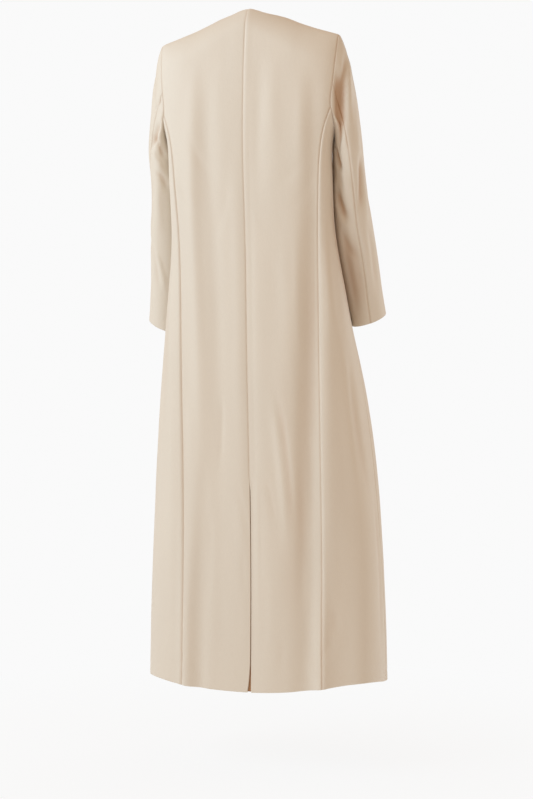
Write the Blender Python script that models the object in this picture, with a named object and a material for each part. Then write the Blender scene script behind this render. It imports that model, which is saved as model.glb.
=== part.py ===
# A full-length collarless abaya coat in heavy crepe, worn: princess-seamed back with a centre vent,
# two-piece set-in sleeves, plain open front. It is hollow and hangs from the shoulders.
#
# Metres. +Z up, the front faces -Y, +X is the wearer's left. The origin is the middle of the neck
# opening, level with the neck ends of the shoulder seams.
#
# Every panel is a piece of one of two smooth surfaces: the coat's body, addressed by the angle
# round it from the centre back and by height, and the sleeve, a tube that starts at the armhole.
# A panel is a grid laid on its surface between its seams and then given the cloth's thickness,
# on the same directions as its neighbour's, so that the walls stay parallel at each seam.

import math

import bmesh
import bpy
import numpy as np

CLOTH = 0.0016
SEAM_GAP = 0.0003
EDGE_INSET = SEAM_GAP / 2

# Body: one row for each level, from the neck to the hem.
# shift: sideways sway; back, side, front: y of the centre back, of the widest line, of the centre
# front; wide: x of the widest line; back_square, front_square: 2 is an ellipse, more is boxier;
# press: how far the arm presses the side in.
BODY_COLUMNS = (
    "z", "shift", "back", "side", "front", "wide", "back_square", "front_square", "press",
)
BODY_LEVELS = (
    (0.060, 0.000, 0.026, -0.015, -0.060, 0.205, 3.0, 2.4, 0.0000),
    (0.000, 0.000, 0.034, -0.015, -0.075, 0.205, 3.0, 2.4, 0.0000),
    (-0.060, 0.000, 0.042, -0.015, -0.090, 0.205, 3.2, 2.5, 0.0000),
    (-0.130, 0.000, 0.049, -0.014, -0.113, 0.201, 3.4, 2.5, 0.0055),
    (-0.190, 0.000, 0.052, -0.013, -0.130, 0.194, 3.6, 2.5, 0.0135),
    (-0.250, 0.000, 0.053, -0.013, -0.142, 0.182, 3.8, 2.5, 0.0235),
    (-0.330, -0.001, 0.051, -0.015, -0.150, 0.1795, 3.8, 2.5, 0.0290),
    (-0.430, -0.004, 0.050, -0.028, -0.154, 0.180, 3.6, 2.5, 0.0240),
    (-0.560, -0.008, 0.055, -0.050, -0.166, 0.195, 3.4, 2.5, 0.0135),
    (-0.690, -0.011, 0.060, -0.060, -0.182, 0.210, 3.2, 2.5, 0.0040),
    (-0.880, -0.016, 0.064, -0.066, -0.200, 0.231, 3.0, 2.5, 0.0000),
    (-1.050, -0.019, 0.064, -0.072, -0.214, 0.244, 3.0, 2.5, 0.0000),
    (-1.230, -0.020, 0.064, -0.080, -0.226, 0.254, 3.0, 2.5, 0.0000),
    (-1.420, -0.020, 0.066, -0.086, -0.234, 0.258, 3.0, 2.5, 0.0000),
)
PRESS_Y = -0.084
PRESS_SPREAD = 0.044

# Shoulder line, over which the back and the front meet.
SHOULDER_SLOPE = 0.290
SHOULDER_LEVEL = 0.0215
NECK_RISE = 0.0206
NECK_RISE_SPREAD = 0.100
RIDGE_NECK_Y = -0.018
SHOULDER_ROUND = 0.075
NECK_ROUND = 0.060
SHOULDER_TIP_X = 0.195
SHOULDER_NECK_X = 0.085

NAPE_Z = 0.0285
V_POINT_Z = -0.300
UNDERARM_Z = -0.247
PRINCESS_TOP_Z = -0.190
VENT_TOP_Z = -0.963

# Hem level round the body. Columns: degrees from the centre back, z.
HEM_LEFT = ((0, -1.409), (25, -1.405), (48, -1.395), (90, -1.401), (135, -1.398), (180, -1.394))
HEM_RIGHT = ((0, -1.409), (25, -1.401), (48, -1.388), (90, -1.398), (135, -1.398), (180, -1.394))

# Princess seam. Columns: z, x from the centre back.
PRINCESS_SEAM = (
    (-0.190, 0.1835), (-0.220, 0.1735), (-0.260, 0.1645), (-0.340, 0.1570), (-0.430, 0.1520),
    (-0.540, 0.1495), (-0.700, 0.1492), (-0.900, 0.1490), (-1.100, 0.1498), (-1.420, 0.1535),
)
# Side seam. Columns: z, degrees from the centre back.
SIDE_SEAM = ((-0.247, 108.0), (-0.400, 103.0), (-0.700, 96.0), (-1.420, 92.0))
# Front edge, from the neck end of the shoulder seam down the V and on to the hem. Columns: z, x.
FRONT_EDGE = (
    (0.0069, 0.0850), (-0.060, 0.0720), (-0.140, 0.0500), (-0.220, 0.0250), (V_POINT_Z, 0.0040),
    (-0.500, 0.0050), (-0.900, 0.0100), (-1.420, 0.0180),
)
# Back neckline from the nape. It ends at the neck end of the shoulder seam. Columns: x, z.
BACK_NECKLINE = ((0.000, NAPE_Z), (0.012, 0.0274), (0.030, 0.0215), (0.060, 0.0135))
# Vent: how far each edge stands off the centre back. Columns: z, left, right.
VENT_EDGE = (
    (VENT_TOP_Z, 0.0002, 0.0002), (-0.990, 0.0004, 0.0026), (-1.200, 0.0003, 0.0028),
    (-1.350, 0.0010, 0.0026), (-1.385, 0.0034, 0.0026), (-1.420, 0.0080, 0.0028),
)
# The underlay spans this many of the back panels' columns each way from the centre.
UNDERLAY_COLUMNS = 3
UNDERLAY_TOP_Z = -0.900
UNDERLAY_GAP = 0.0009

# Armhole, from the shoulder tip down the back, under the arm and up the front. A row gives x on
# the back or front of the body, or else the angle from the centre back. Columns: z, x, degrees,
# half, stop.
ARMHOLE = (
    (None, SHOULDER_TIP_X, None, "back", "tip"),
    (-0.085, 0.1920, None, "back", None),
    (-0.142, 0.1868, None, "back", "hind"),
    (PRINCESS_TOP_Z, 0.1835, None, "back", "princess"),
    (-0.232, None, 80.0, "back", None),
    (UNDERARM_Z, None, 108.0, "front", "under"),
    (-0.228, None, 125.0, "front", None),
    (-0.180, 0.1620, None, "front", "fore"),
    (-0.130, 0.1680, None, "front", None),
    (-0.080, 0.1820, None, "front", None),
    (None, SHOULDER_TIP_X, None, "front", "tip_front"),
)
# Steps between the armhole's stops, with the sleeve angle that each stop runs down to. Sleeve
# angles: 0 is the back, 90 the outside, 180 the front, -90 the side next to the body.
SLEEVE_STOPS = (
    ("tip", 90.0), ("hind", 12.0), ("princess", -16.0), ("under", -90.0), ("fore", -140.0),
    ("tip_front", -270.0),
)
ARMHOLE_STEPS = {"hind": 6, "princess": 2, "under": 6, "fore": 4, "tip_front": 8}
TIP_EASE = 1.6

# Soft flutes that hang down the body from the shoulder blades and the bust, unlike on the two
# sides. Each is a ridge, or a hollow where its height is under zero, that runs down a path on the
# back or the front. Columns of a path: z, x to the wearer's left of the centre, half width, height.
FLUTES = (
    # left back, a hollow
    ("back", (
        (-0.060, 0.080, 0.018, 0.0000), (-0.240, 0.078, 0.019, -0.0026),
        (-0.480, 0.070, 0.020, -0.0034), (-0.800, 0.063, 0.021, -0.0034),
        (-1.200, 0.070, 0.026, -0.0026), (-1.420, 0.070, 0.026, -0.0016),
    )),
    # left back, a ridge that runs out to the seam
    ("back", (
        (-0.080, 0.112, 0.015, 0.0000), (-0.240, 0.114, 0.017, 0.0036), (-0.380, 0.117, 0.017, 0.0052),
        (-0.590, 0.112, 0.017, 0.0048), (-0.800, 0.110, 0.018, 0.0034), (-1.000, 0.124, 0.020, 0.0026),
        (-1.215, 0.140, 0.015, 0.0052), (-1.420, 0.143, 0.015, 0.0070),
    )),
    ("back", (
        (-0.900, 0.098, 0.018, 0.0000), (-1.110, 0.105, 0.018, -0.0034),
        (-1.240, 0.108, 0.018, -0.0050), (-1.420, 0.110, 0.016, -0.0054),
    )),
    ("back", (
        (-0.350, 0.170, 0.014, 0.0000), (-0.600, 0.172, 0.014, 0.0018), (-0.800, 0.172, 0.015, 0.0036),
        (-0.950, 0.171, 0.016, 0.0036), (-1.110, 0.172, 0.017, 0.0022), (-1.420, 0.180, 0.020, 0.0016),
    )),
    # along the centre back seam
    ("back", (
        (-0.200, 0.018, 0.012, 0.0000), (-0.480, 0.018, 0.012, 0.0012), (-0.800, 0.018, 0.012, 0.0012),
        (-1.100, 0.020, 0.012, 0.0008), (-1.420, 0.020, 0.012, 0.0000),
    )),
    ("back", (
        (-0.150, -0.006, 0.010, 0.0000), (-0.480, -0.006, 0.010, -0.0018),
        (-1.000, -0.006, 0.010, -0.0022), (-1.250, -0.006, 0.010, -0.0014),
        (-1.420, -0.006, 0.010, 0.0000),
    )),
    ("back", (
        (-0.300, -0.034, 0.026, 0.0000), (-0.480, -0.034, 0.026, 0.0010),
        (-0.800, -0.038, 0.026, 0.0018), (-1.100, -0.042, 0.026, 0.0030),
        (-1.420, -0.036, 0.030, 0.0034),
    )),
    # right shoulder blade
    ("back", (
        (-0.060, -0.065, 0.018, 0.0000), (-0.200, -0.065, 0.018, 0.0016),
        (-0.330, -0.065, 0.018, 0.0011), (-0.600, -0.065, 0.018, 0.0000),
    )),
    ("back", (
        (-0.060, -0.034, 0.014, 0.0000), (-0.200, -0.034, 0.014, -0.0018),
        (-0.330, -0.030, 0.014, -0.0010), (-0.450, -0.030, 0.014, 0.0000),
    )),
    ("back", (
        (-0.100, -0.122, 0.014, 0.0000), (-0.240, -0.124, 0.014, 0.0020),
        (-0.360, -0.120, 0.014, 0.0000),
    )),
    # right back, the deep hollow and the ridge beside it
    ("back", (
        (-0.110, -0.150, 0.015, 0.0000), (-0.200, -0.150, 0.016, -0.0036),
        (-0.300, -0.148, 0.017, -0.0062), (-0.480, -0.141, 0.019, -0.0086),
        (-0.800, -0.131, 0.021, -0.0104), (-1.100, -0.126, 0.022, -0.0098),
        (-1.420, -0.116, 0.020, -0.0070),
    )),
    ("back", (
        (-0.300, -0.096, 0.022, 0.0000), (-0.480, -0.096, 0.022, 0.0018),
        (-0.600, -0.090, 0.023, 0.0028), (-0.800, -0.080, 0.022, 0.0042),
        (-0.905, -0.083, 0.020, 0.0048), (-1.000, -0.084, 0.022, 0.0038),
        (-1.200, -0.074, 0.026, 0.0024), (-1.420, -0.072, 0.026, 0.0018),
    )),
    # right side back
    ("back", (
        (-0.200, -0.160, 0.010, 0.0000), (-0.500, -0.160, 0.010, 0.0012),
        (-1.000, -0.159, 0.012, 0.0020), (-1.420, -0.158, 0.012, 0.0022),
    )),
    ("back", (
        (-0.900, -0.150, 0.013, 0.0000), (-1.110, -0.150, 0.012, 0.0010),
        (-1.215, -0.148, 0.012, 0.0030), (-1.320, -0.148, 0.012, 0.0058),
        (-1.420, -0.150, 0.013, 0.0068),
    )),
    ("back", (
        (-0.400, -0.172, 0.014, 0.0000), (-0.590, -0.174, 0.014, 0.0026),
        (-0.800, -0.182, 0.016, 0.0024), (-1.000, -0.190, 0.016, 0.0014),
        (-1.420, -0.190, 0.016, 0.0000),
    )),
    ("back", (
        (-0.850, -0.195, 0.016, 0.0000), (-1.100, -0.195, 0.018, -0.0014),
        (-1.420, -0.192, 0.020, -0.0046),
    )),
    ("back", (
        (-0.500, -0.205, 0.013, 0.0000), (-0.620, -0.226, 0.014, 0.0020),
        (-0.800, -0.236, 0.016, 0.0038), (-0.950, -0.240, 0.018, 0.0036),
        (-1.420, -0.236, 0.022, 0.0040),
    )),
    # fronts
    ("front", (
        (-0.300, 0.060, 0.025, 0.0000), (-0.500, 0.061, 0.025, -0.0007),
        (-1.420, 0.065, 0.025, -0.0050),
    )),
    ("front", (
        (-0.300, 0.095, 0.030, 0.0000), (-0.500, 0.099, 0.030, 0.0012), (-1.420, 0.120, 0.030, 0.0070),
    )),
    ("front", (
        (-0.350, 0.150, 0.022, 0.0000), (-0.550, 0.157, 0.024, -0.0010),
        (-1.420, 0.190, 0.030, -0.0060),
    )),
    ("front", (
        (-0.300, -0.055, 0.025, 0.0000), (-0.500, -0.056, 0.025, -0.0009),
        (-1.420, -0.060, 0.025, -0.0060),
    )),
    ("front", (
        (-0.300, -0.092, 0.026, 0.0000), (-0.500, -0.096, 0.027, 0.0012),
        (-1.420, -0.112, 0.030, 0.0070),
    )),
    ("front", (
        (-0.350, -0.145, 0.022, 0.0000), (-0.550, -0.151, 0.024, -0.0008),
        (-1.420, -0.180, 0.030, -0.0050),
    )),
)

# Sleeves: one row for each ring, unlike on the two sides because the arms hang differently. x, y,
# z: the ring's middle, on the wearer's left; outer, inner, fore, hind: how far it reaches to each
# side; turn: degrees that its back is turned outwards; rise_back and rise_out: degrees that its
# plane rises backwards and outwards; twist: degrees that the cloth is twisted round the arm.
# Columns: x, y, z, outer, inner, fore, hind, turn, rise_back, rise_out, twist.
SLEEVE_RINGS = {
    "left": (
        (0.2019, -0.044, -0.272, 0.0358, 0.0224, 0.0544, 0.0544, -2.0, -9, 5, 34),
        (0.2019, -0.058, -0.345, 0.0322, 0.0311, 0.0516, 0.0516, 8.0, -11, 5, 50),
        (0.2091, -0.078, -0.425, 0.0339, 0.0380, 0.0497, 0.0497, 11.5, -13, 5, 54),
        (0.2168, -0.103, -0.505, 0.0357, 0.0417, 0.0478, 0.0478, 10.5, -14, 7, 54),
        (0.2248, -0.124, -0.570, 0.0377, 0.0428, 0.0468, 0.0468, 8.0, -14, 13, 54),
        (0.2324, -0.140, -0.631, 0.0393, 0.0427, 0.0458, 0.0458, 5.7, -14, 23, 54),
    ),
    "right": (
        (0.1992, -0.044, -0.272, 0.0368, 0.0268, 0.0544, 0.0544, 20.0, -9, 5, -14),
        (0.2029, -0.058, -0.345, 0.0370, 0.0346, 0.0516, 0.0516, 21.0, -11, 5, -10),
        (0.2092, -0.078, -0.425, 0.0392, 0.0434, 0.0497, 0.0497, 17.0, -13, 5, -7),
        (0.2177, -0.103, -0.505, 0.0390, 0.0443, 0.0478, 0.0478, 15.5, -15, 6, -6),
        (0.2244, -0.124, -0.570, 0.0373, 0.0411, 0.0468, 0.0468, 12.0, -17, 9, -5),
        (0.2305, -0.140, -0.624, 0.0367, 0.0387, 0.0458, 0.0458, 10.0, -19, 15, -5),
    ),
}
CAP_START_PULL = 0.55
CAP_END_PULL = 0.62
CAP_OUTWARD = 0.60

# How finely each seam and panel is divided.
ROWS_BELOW_ARMHOLE = 16
NECK_COLUMNS = 4
SHOULDER_COLUMNS = 7
CAP_ROWS = 6
TUBE_ROWS = 9
LONGEST_MITRE = 1.5
STEP = 1e-4

COLOURS = {
    "crepe": (0.708, 0.632, 0.527, 1.0),
    "crepe_shade": (0.600, 0.470, 0.345, 1.0),
}
ROUGHNESS = 0.55


def spline(knots, values):
    """Natural cubic spline through values (one column or several) at knots, as a function."""
    knots = np.asarray(knots, float)
    values = np.asarray(values, float)
    flat = values.ndim == 1
    if flat:
        values = values[:, None]
    count = len(knots)
    gaps = np.diff(knots)
    system = np.eye(count)
    right = np.zeros_like(values)
    slopes = np.diff(values, axis=0) / gaps[:, None]
    for i in range(1, count - 1):
        system[i, i - 1 : i + 2] = gaps[i - 1], 2 * (gaps[i - 1] + gaps[i]), gaps[i]
        right[i] = 6 * (slopes[i] - slopes[i - 1])
    bend = np.linalg.solve(system, right)

    def at(where):
        where = np.clip(np.asarray(where, float), knots[0], knots[-1])
        i = np.clip(np.searchsorted(knots, where, "right") - 1, 0, count - 2)
        gap = gaps[i][..., None]
        a = (knots[i + 1] - where)[..., None] / gap
        b = 1 - a
        found = a * values[i] + b * values[i + 1]
        found += ((a**3 - a) * bend[i] + (b**3 - b) * bend[i + 1]) * gap**2 / 6
        return found[..., 0] if flat else found

    return at


def table_spline(rows):
    """Spline through a table whose first column falls with each row."""
    rows = np.array(rows, float)[::-1]
    return spline(rows[:, 0], rows[:, 1:] if rows.shape[1] > 2 else rows[:, 1])


body_level = table_spline(BODY_LEVELS)
princess_x = table_spline(PRINCESS_SEAM)
side_degrees = table_spline(SIDE_SEAM)
front_edge_x = table_spline(FRONT_EDGE)


def smooth(t):
    t = np.clip(t, 0, 1)
    return t * t * (3 - 2 * t)


def unit(v):
    return v / np.maximum(np.linalg.norm(v, axis=-1, keepdims=True), 1e-12)


def ridge_z(x):
    """Height of the shoulder line."""
    rise = NECK_RISE * np.exp(-((x / NECK_RISE_SPREAD) ** 2))
    return SHOULDER_LEVEL - SHOULDER_SLOPE * x + rise


def ridge_y(x):
    return RIDGE_NECK_Y * (1 - smooth(x / SHOULDER_TIP_X))


def ridge_round(x):
    """How far down the shoulder's roundness reaches."""
    return NECK_ROUND + (SHOULDER_ROUND - NECK_ROUND) * smooth(x / SHOULDER_TIP_X)


def angle_at(x, z, half):
    """Angle from the centre back at which the ring at z is x wide, on its back or front half."""
    level = dict(zip(BODY_COLUMNS[1:], np.moveaxis(body_level(z), -1, 0)))
    square = level[half + "_square"]
    share = np.clip(x / level["wide"], 0, 1)
    angle = np.arctan2(share, (1 - share**square) ** (1 / square))
    return angle if half == "back" else math.pi - angle


flute_paths = [(half, table_spline(rows)) for half, rows in FLUTES]


def flutes(x, z, back_share):
    """How far the flutes stand out at each point. x is signed, so they run on over the centre."""
    height = np.zeros_like(x)
    for half, path in flute_paths:
        centre, spread, tall = np.moveaxis(path(z), -1, 0)
        share = back_share if half == "back" else 1 - back_share
        height += share * tall * np.exp(-(((x - centre) / spread) ** 2))
    return height


def body(angle, z, hand=1):
    """Points of the body's outside. hand is 1 on the wearer's left and -1 on the right."""
    angle, z = np.broadcast_arrays(np.asarray(angle, float), np.asarray(z, float))
    level = body_level(z)
    shift, back, side, front, wide, back_square, front_square, press = np.moveaxis(level, -1, 0)
    sine = np.sin(angle)
    cosine = np.cos(angle)
    behind = cosine > 0
    square = np.where(behind, back_square, front_square)
    reach = (np.abs(sine) ** square + np.abs(cosine) ** square) ** (-1 / square)
    x = wide * reach * sine
    y = side + np.where(behind, back - side, side - front) * reach * cosine
    x = x - press * np.exp(-(((y - PRESS_Y) / PRESS_SPREAD) ** 2)) * smooth(x / 0.12)
    back_share = smooth(0.5 + cosine)
    y = y + flutes(hand * x, z, back_share) * np.where(behind, 1, -1)
    rolled = np.clip((ridge_z(x) - z) / ridge_round(x), 0, 1)
    y = ridge_y(x) + (y - ridge_y(x)) * np.sqrt(1 - (1 - rolled) ** 2)
    return np.stack([shift + hand * x, y, z], axis=-1)


def body_normal(angle, z, hand=1):
    """Outward directions. On the shoulder line, where the surface is level, they are the line's."""
    x = np.abs(body(angle, z, hand)[..., 0])
    below = ridge_z(x) - z
    lower = np.where(below < 3 * STEP, z - 3 * STEP, z)
    across = body(angle + 10 * STEP, lower, hand) - body(angle - 10 * STEP, lower, hand)
    up = body(angle, lower + STEP, hand) - body(angle, lower - STEP, hand)
    found = unit(np.cross(up, across)) * hand
    fall = (ridge_z(x - STEP) - ridge_z(x + STEP)) / (2 * STEP)
    level = unit(np.stack([hand * fall, np.zeros_like(fall), np.ones_like(fall)], axis=-1))
    return np.where((below < STEP)[..., None], level, found)


def neckline_z(x):
    rows = np.array(BACK_NECKLINE + ((SHOULDER_NECK_X, ridge_z(SHOULDER_NECK_X)),))
    return spline(rows[:, 0], rows[:, 1])(x)


def shoulder_angle(x, half):
    return angle_at(x, ridge_z(x), half)


def hem_z(angle, hand):
    rows = np.array(HEM_LEFT if hand > 0 else HEM_RIGHT, float)
    return spline(rows[:, 0], rows[:, 1])(np.degrees(angle))


def armhole_curve():
    """(function from a share of the curve to (angle, z), {stop: share})."""
    points, stops = [], {}
    for i, (z, x, degrees, half, stop) in enumerate(ARMHOLE):
        if z is None:
            z = float(ridge_z(x))
        angle = math.radians(degrees) if x is None else float(angle_at(x, z, half))
        points.append((angle, z))
        if stop:
            stops[stop] = i
    points = np.array(points)
    metres = points * np.array([SHOULDER_TIP_X * 0.6, 1.0])
    along = np.concatenate([[0], np.cumsum(np.linalg.norm(np.diff(metres, axis=0), axis=1))])
    along /= along[-1]
    return spline(along, points), {name: along[i] for name, i in stops.items()}


armhole, STOP_SHARES = armhole_curve()


def sleeve_angle(share):
    """Angle round the sleeve that each share of the armhole runs down to."""
    shares = [0.0] + [STOP_SHARES[name] for name, _ in SLEEVE_STOPS[1:]]
    degrees = [angle for _, angle in SLEEVE_STOPS]
    return np.radians(np.interp(np.mod(share, 1.0), shares, degrees))


def armhole_samples(start, end):
    """Shares of the armhole between two of its stops, closer together next to the tip."""
    names = [name for name, _ in SLEEVE_STOPS]
    places = dict(STOP_SHARES, tip=0.0)
    found = [places[start]]
    for a, b in zip(names, names[1:]):
        if names.index(start) <= names.index(a) < names.index(end):
            t = np.linspace(0, 1, ARMHOLE_STEPS[b] + 1)[1:]
            if a == "tip":
                t = t**TIP_EASE
            if b == "tip_front":
                t = 1 - (1 - t) ** TIP_EASE
            found.extend(places[a] + (places[b] - places[a]) * t)
    return np.array(found)


def off_hole(share):
    """(body points, outward directions, directions square to the edge that point into the hole)
    at shares of the armhole, on the wearer's left."""
    here, before, after = (armhole(np.clip(share + d, 0, 1)) for d in (0, -20 * STEP, 20 * STEP))
    outward = body_normal(here[..., 0], here[..., 1])
    along = body(after[..., 0], after[..., 1]) - body(before[..., 0], before[..., 1])
    return body(here[..., 0], here[..., 1]), outward, unit(np.cross(along, outward))


def sleeve_ring(row, phi):
    """Points of a sleeve ring at the angles phi."""
    x, y, z, outer, inner, fore, hind, turn, rise_back, rise_out, twist = np.moveaxis(row, -1, 0)
    phi = phi + np.radians(twist)
    across = np.where(np.sin(phi) > 0, outer, inner) * np.sin(phi)
    along = np.where(np.cos(phi) > 0, hind, fore) * np.cos(phi)
    turn = np.radians(turn)
    px = across * np.cos(turn) + along * np.sin(turn)
    py = along * np.cos(turn) - across * np.sin(turn)
    pz = px * np.tan(np.radians(rise_out)) + py * np.tan(np.radians(rise_back))
    return np.stack([x + px, y + py, z + pz], axis=-1)


sleeve_rings = {
    side: spline(np.linspace(1, 2, len(rows)), rows) for side, rows in SLEEVE_RINGS.items()
}


def sleeve(share, down, side):
    """Points of either sleeve's outside, laid on the wearer's left. down is 0 at the armhole, 1 at
    the end of the cap and 2 at the cuff."""
    share, down = np.broadcast_arrays(np.mod(share, 1.0), np.asarray(down, float))
    phi = sleeve_angle(share)
    rings = sleeve_rings[side]
    tube = sleeve_ring(rings(down), phi)
    top = sleeve_ring(rings(np.ones_like(down)), phi)
    below = sleeve_ring(rings(np.full_like(down, 1.02)), phi)
    start, outward, away = off_hole(share)
    reach = np.linalg.norm(top - start, axis=-1, keepdims=True)
    straight = unit(top - start)
    open_share = (1 + np.sum(straight * away, axis=-1, keepdims=True)) / 2
    leave = unit(straight + CAP_OUTWARD * (open_share * away + (1 - open_share) * outward))
    folded = (1 - np.sum(leave * away, axis=-1, keepdims=True)) / 2
    start = start + SEAM_GAP * folded * outward
    t = np.clip(down, 0, 1)[..., None]
    cap = (2 * t**3 - 3 * t**2 + 1) * start + (3 * t**2 - 2 * t**3) * top
    cap += (t**3 - 2 * t**2 + t) * leave * reach * CAP_START_PULL
    cap += (t**3 - t**2) * unit(below - top) * reach * CAP_END_PULL
    return np.where((down < 1)[..., None], cap, tube)


def sleeve_normal(share, down, side):
    """Outward directions. At the armhole the wall stays on the sleeve's side of the seam."""
    near = np.clip(down, 0.02, 1.98)
    round_it = sleeve(share + 20 * STEP, near, side) - sleeve(share - 20 * STEP, near, side)
    along = sleeve(share, near + 0.01, side) - sleeve(share, near - 0.01, side)
    outward = unit(np.cross(along, round_it))
    _, _, away = off_hole(np.mod(share, 1.0))
    past = np.maximum(np.sum(outward * away, axis=-1, keepdims=True), 0)
    at_seam = (np.asarray(down) < 0.01)[..., None]
    return unit(outward - np.where(at_seam, past, 0) * away)


def blend(left, right, top, bottom, across, down):
    """Coons patch: a grid between four edges, each given at the shares across or down."""
    u = across[None, :, None]
    v = down[:, None, None]
    sides = (1 - u) * left[:, None] + u * right[:, None]
    ends = (1 - v) * top[None] + v * bottom[None]
    corners = (1 - v) * ((1 - u) * top[0] + u * top[-1])
    corners = corners + v * ((1 - u) * bottom[0] + u * bottom[-1])
    return sides + ends - corners


def hem_end(x, half, hand):
    """(angle, z) where a line that comes down at x meets the hem."""
    z = HEM_LEFT[0][1]
    for _ in range(4):
        z = float(hem_z(angle_at(x, z, half), hand))
    return np.array([float(angle_at(x, z, half)), z])


def vent_off(z, hand):
    rows = np.array(VENT_EDGE)[::-1]
    return np.interp(z, rows[:, 0], rows[:, 1 if hand > 0 else 2])


def below_armhole(kind, hand):
    """(angle, z) down the princess or the side seam, from the armhole to the hem."""
    t = np.linspace(0, 1, ROWS_BELOW_ARMHOLE + 1)
    if kind == "side":
        end = float(hem_z(math.radians(SIDE_SEAM[-1][1]), hand))
        z = UNDERARM_Z + (end - UNDERARM_Z) * t
        return np.stack([np.radians(side_degrees(z)), z], axis=-1)
    end = hem_end(PRINCESS_SEAM[-1][1], "back", hand)[1]
    z = PRINCESS_TOP_Z + (end - PRINCESS_TOP_Z) * t
    return np.stack([angle_at(princess_x(z), z, "back"), z], axis=-1)


def back_grid(hand):
    """(angle, z) of a back panel, from the centre back to the princess seam."""
    x = np.concatenate([
        np.linspace(0, SHOULDER_NECK_X, NECK_COLUMNS + 1),
        np.linspace(SHOULDER_NECK_X, SHOULDER_TIP_X, SHOULDER_COLUMNS + 1)[1:],
    ])
    z = np.where(x < SHOULDER_NECK_X, neckline_z(x), ridge_z(x))
    across = x / SHOULDER_TIP_X
    top = np.stack([angle_at(x, z, "back"), z], axis=-1)
    seam = below_armhole("princess", hand)
    right = np.concatenate([armhole(armhole_samples("tip", "princess"))[:-1], seam])
    down = (right[:, 1] - right[0, 1]) / (right[-1, 1] - right[0, 1])
    z = NAPE_Z + (HEM_LEFT[0][1] - NAPE_Z) * down
    left = np.stack([angle_at(vent_off(z, hand), z, "back"), z], axis=-1)
    reach = vent_off(z[-1], hand) * (1 - across) + PRINCESS_SEAM[-1][1] * across
    bottom = np.array([hem_end(x, "back", hand) for x in reach])
    bottom[0], bottom[-1] = left[-1], right[-1]
    return blend(left, right, top, bottom, across, down)


def side_back_grid(hand):
    """(angle, z) of a side back panel, from the princess seam to the side seam."""
    top = armhole(armhole_samples("princess", "under"))
    left = below_armhole("princess", hand)
    right = below_armhole("side", hand)
    across = np.linspace(0, 1, len(top))
    down = np.linspace(0, 1, len(left))
    angle = left[-1, 0] + (right[-1, 0] - left[-1, 0]) * across
    bottom = np.stack([angle, hem_z(angle, hand)], axis=-1)
    return blend(left, right, top, bottom, across, down)


def front_grid(hand):
    """(angle, z) of a front panel, from the side seam to the front edge."""
    x = np.linspace(SHOULDER_TIP_X, SHOULDER_NECK_X, SHOULDER_COLUMNS + 1)
    across = np.linspace(0, 1, len(x))
    top = np.stack([shoulder_angle(x, "front"), ridge_z(x)], axis=-1)
    hole = armhole(armhole_samples("under", "tip_front"))[::-1]
    left = np.concatenate([hole[:-1], below_armhole("side", hand)])
    down = (left[:, 1] - left[0, 1]) / (left[-1, 1] - left[0, 1])
    end = hem_end(FRONT_EDGE[-1][1], "front", hand)
    z = top[-1, 1] + (end[1] - top[-1, 1]) * down
    right = np.stack([angle_at(front_edge_x(z), z, "front"), z], axis=-1)
    angle = left[-1, 0] + (right[-1, 0] - left[-1, 0]) * across
    bottom = np.stack([angle, hem_z(angle, hand)], axis=-1)
    bottom[0], bottom[-1] = left[-1], right[-1]
    return blend(left, right, top, bottom, across, down)


def inset(points, normals, distance):
    """Grid points with the grid's border drawn in along the surface by distance."""
    rows, columns = points.shape[:2]
    ring = [(0, j) for j in range(columns)]
    ring += [(i, columns - 1) for i in range(1, rows)]
    ring += [(rows - 1, j) for j in range(columns - 2, -1, -1)]
    ring += [(i, 0) for i in range(rows - 2, 0, -1)]
    rim = np.array([points[place] for place in ring])
    out = np.array([normals[place] for place in ring])
    step = unit(np.roll(rim, -1, axis=0) - rim)
    inward = unit(np.cross(out, step))
    if np.sum(inward[0] * (points[1, 1] - points[0, 0])) < 0:
        inward = -inward
    before = np.roll(inward, 1, axis=0)
    both = before + inward
    length = 1 / np.maximum(1 + np.sum(before * inward, axis=1, keepdims=True), 0.2)
    move = both * length
    move *= np.minimum(1, LONGEST_MITRE / np.linalg.norm(move, axis=1, keepdims=True))
    moved = points.copy()
    for place, offset in zip(ring, move):
        moved[place] = points[place] + offset * distance
    return moved


def wall(name, points, normals, material, depth=0.0):
    """A panel of cloth: its outside on the points, its inside a cloth's thickness within."""
    points = inset(points, normals, EDGE_INSET) - depth * normals
    inner = points - CLOTH * normals
    rows, columns = points.shape[:2]
    across = points[0, 1] - points[0, 0]
    down = points[1, 0] - points[0, 0]
    faces_out = np.dot(np.cross(down, across), normals[0, 0]) > 0
    mesh = bmesh.new()
    outside = [[mesh.verts.new(p) for p in row] for row in points]
    inside = [[mesh.verts.new(p) for p in row] for row in inner]

    def face(*corners):
        made = mesh.faces.new(corners if faces_out else corners[::-1])
        made.smooth = True

    for i in range(rows - 1):
        for j in range(columns - 1):
            for side, turned in ((outside, False), (inside, True)):
                loop = [side[i][j], side[i + 1][j], side[i + 1][j + 1], side[i][j + 1]]
                face(*(loop[::-1] if turned else loop))
    for j in range(columns - 1):
        face(outside[0][j + 1], inside[0][j + 1], inside[0][j], outside[0][j])
        face(outside[-1][j], inside[-1][j], inside[-1][j + 1], outside[-1][j + 1])
    for i in range(rows - 1):
        face(outside[i][0], inside[i][0], inside[i + 1][0], outside[i + 1][0])
        face(outside[i + 1][-1], inside[i + 1][-1], inside[i][-1], outside[i][-1])
    bmesh.ops.triangulate(mesh, faces=mesh.faces, quad_method="SHORT_EDGE")
    data = bpy.data.meshes.new(name)
    mesh.to_mesh(data)
    mesh.free()
    data.set_sharp_from_angle(angle=math.radians(50))
    piece = bpy.data.objects.new(name, data)
    data.materials.append(material)
    return piece


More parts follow.
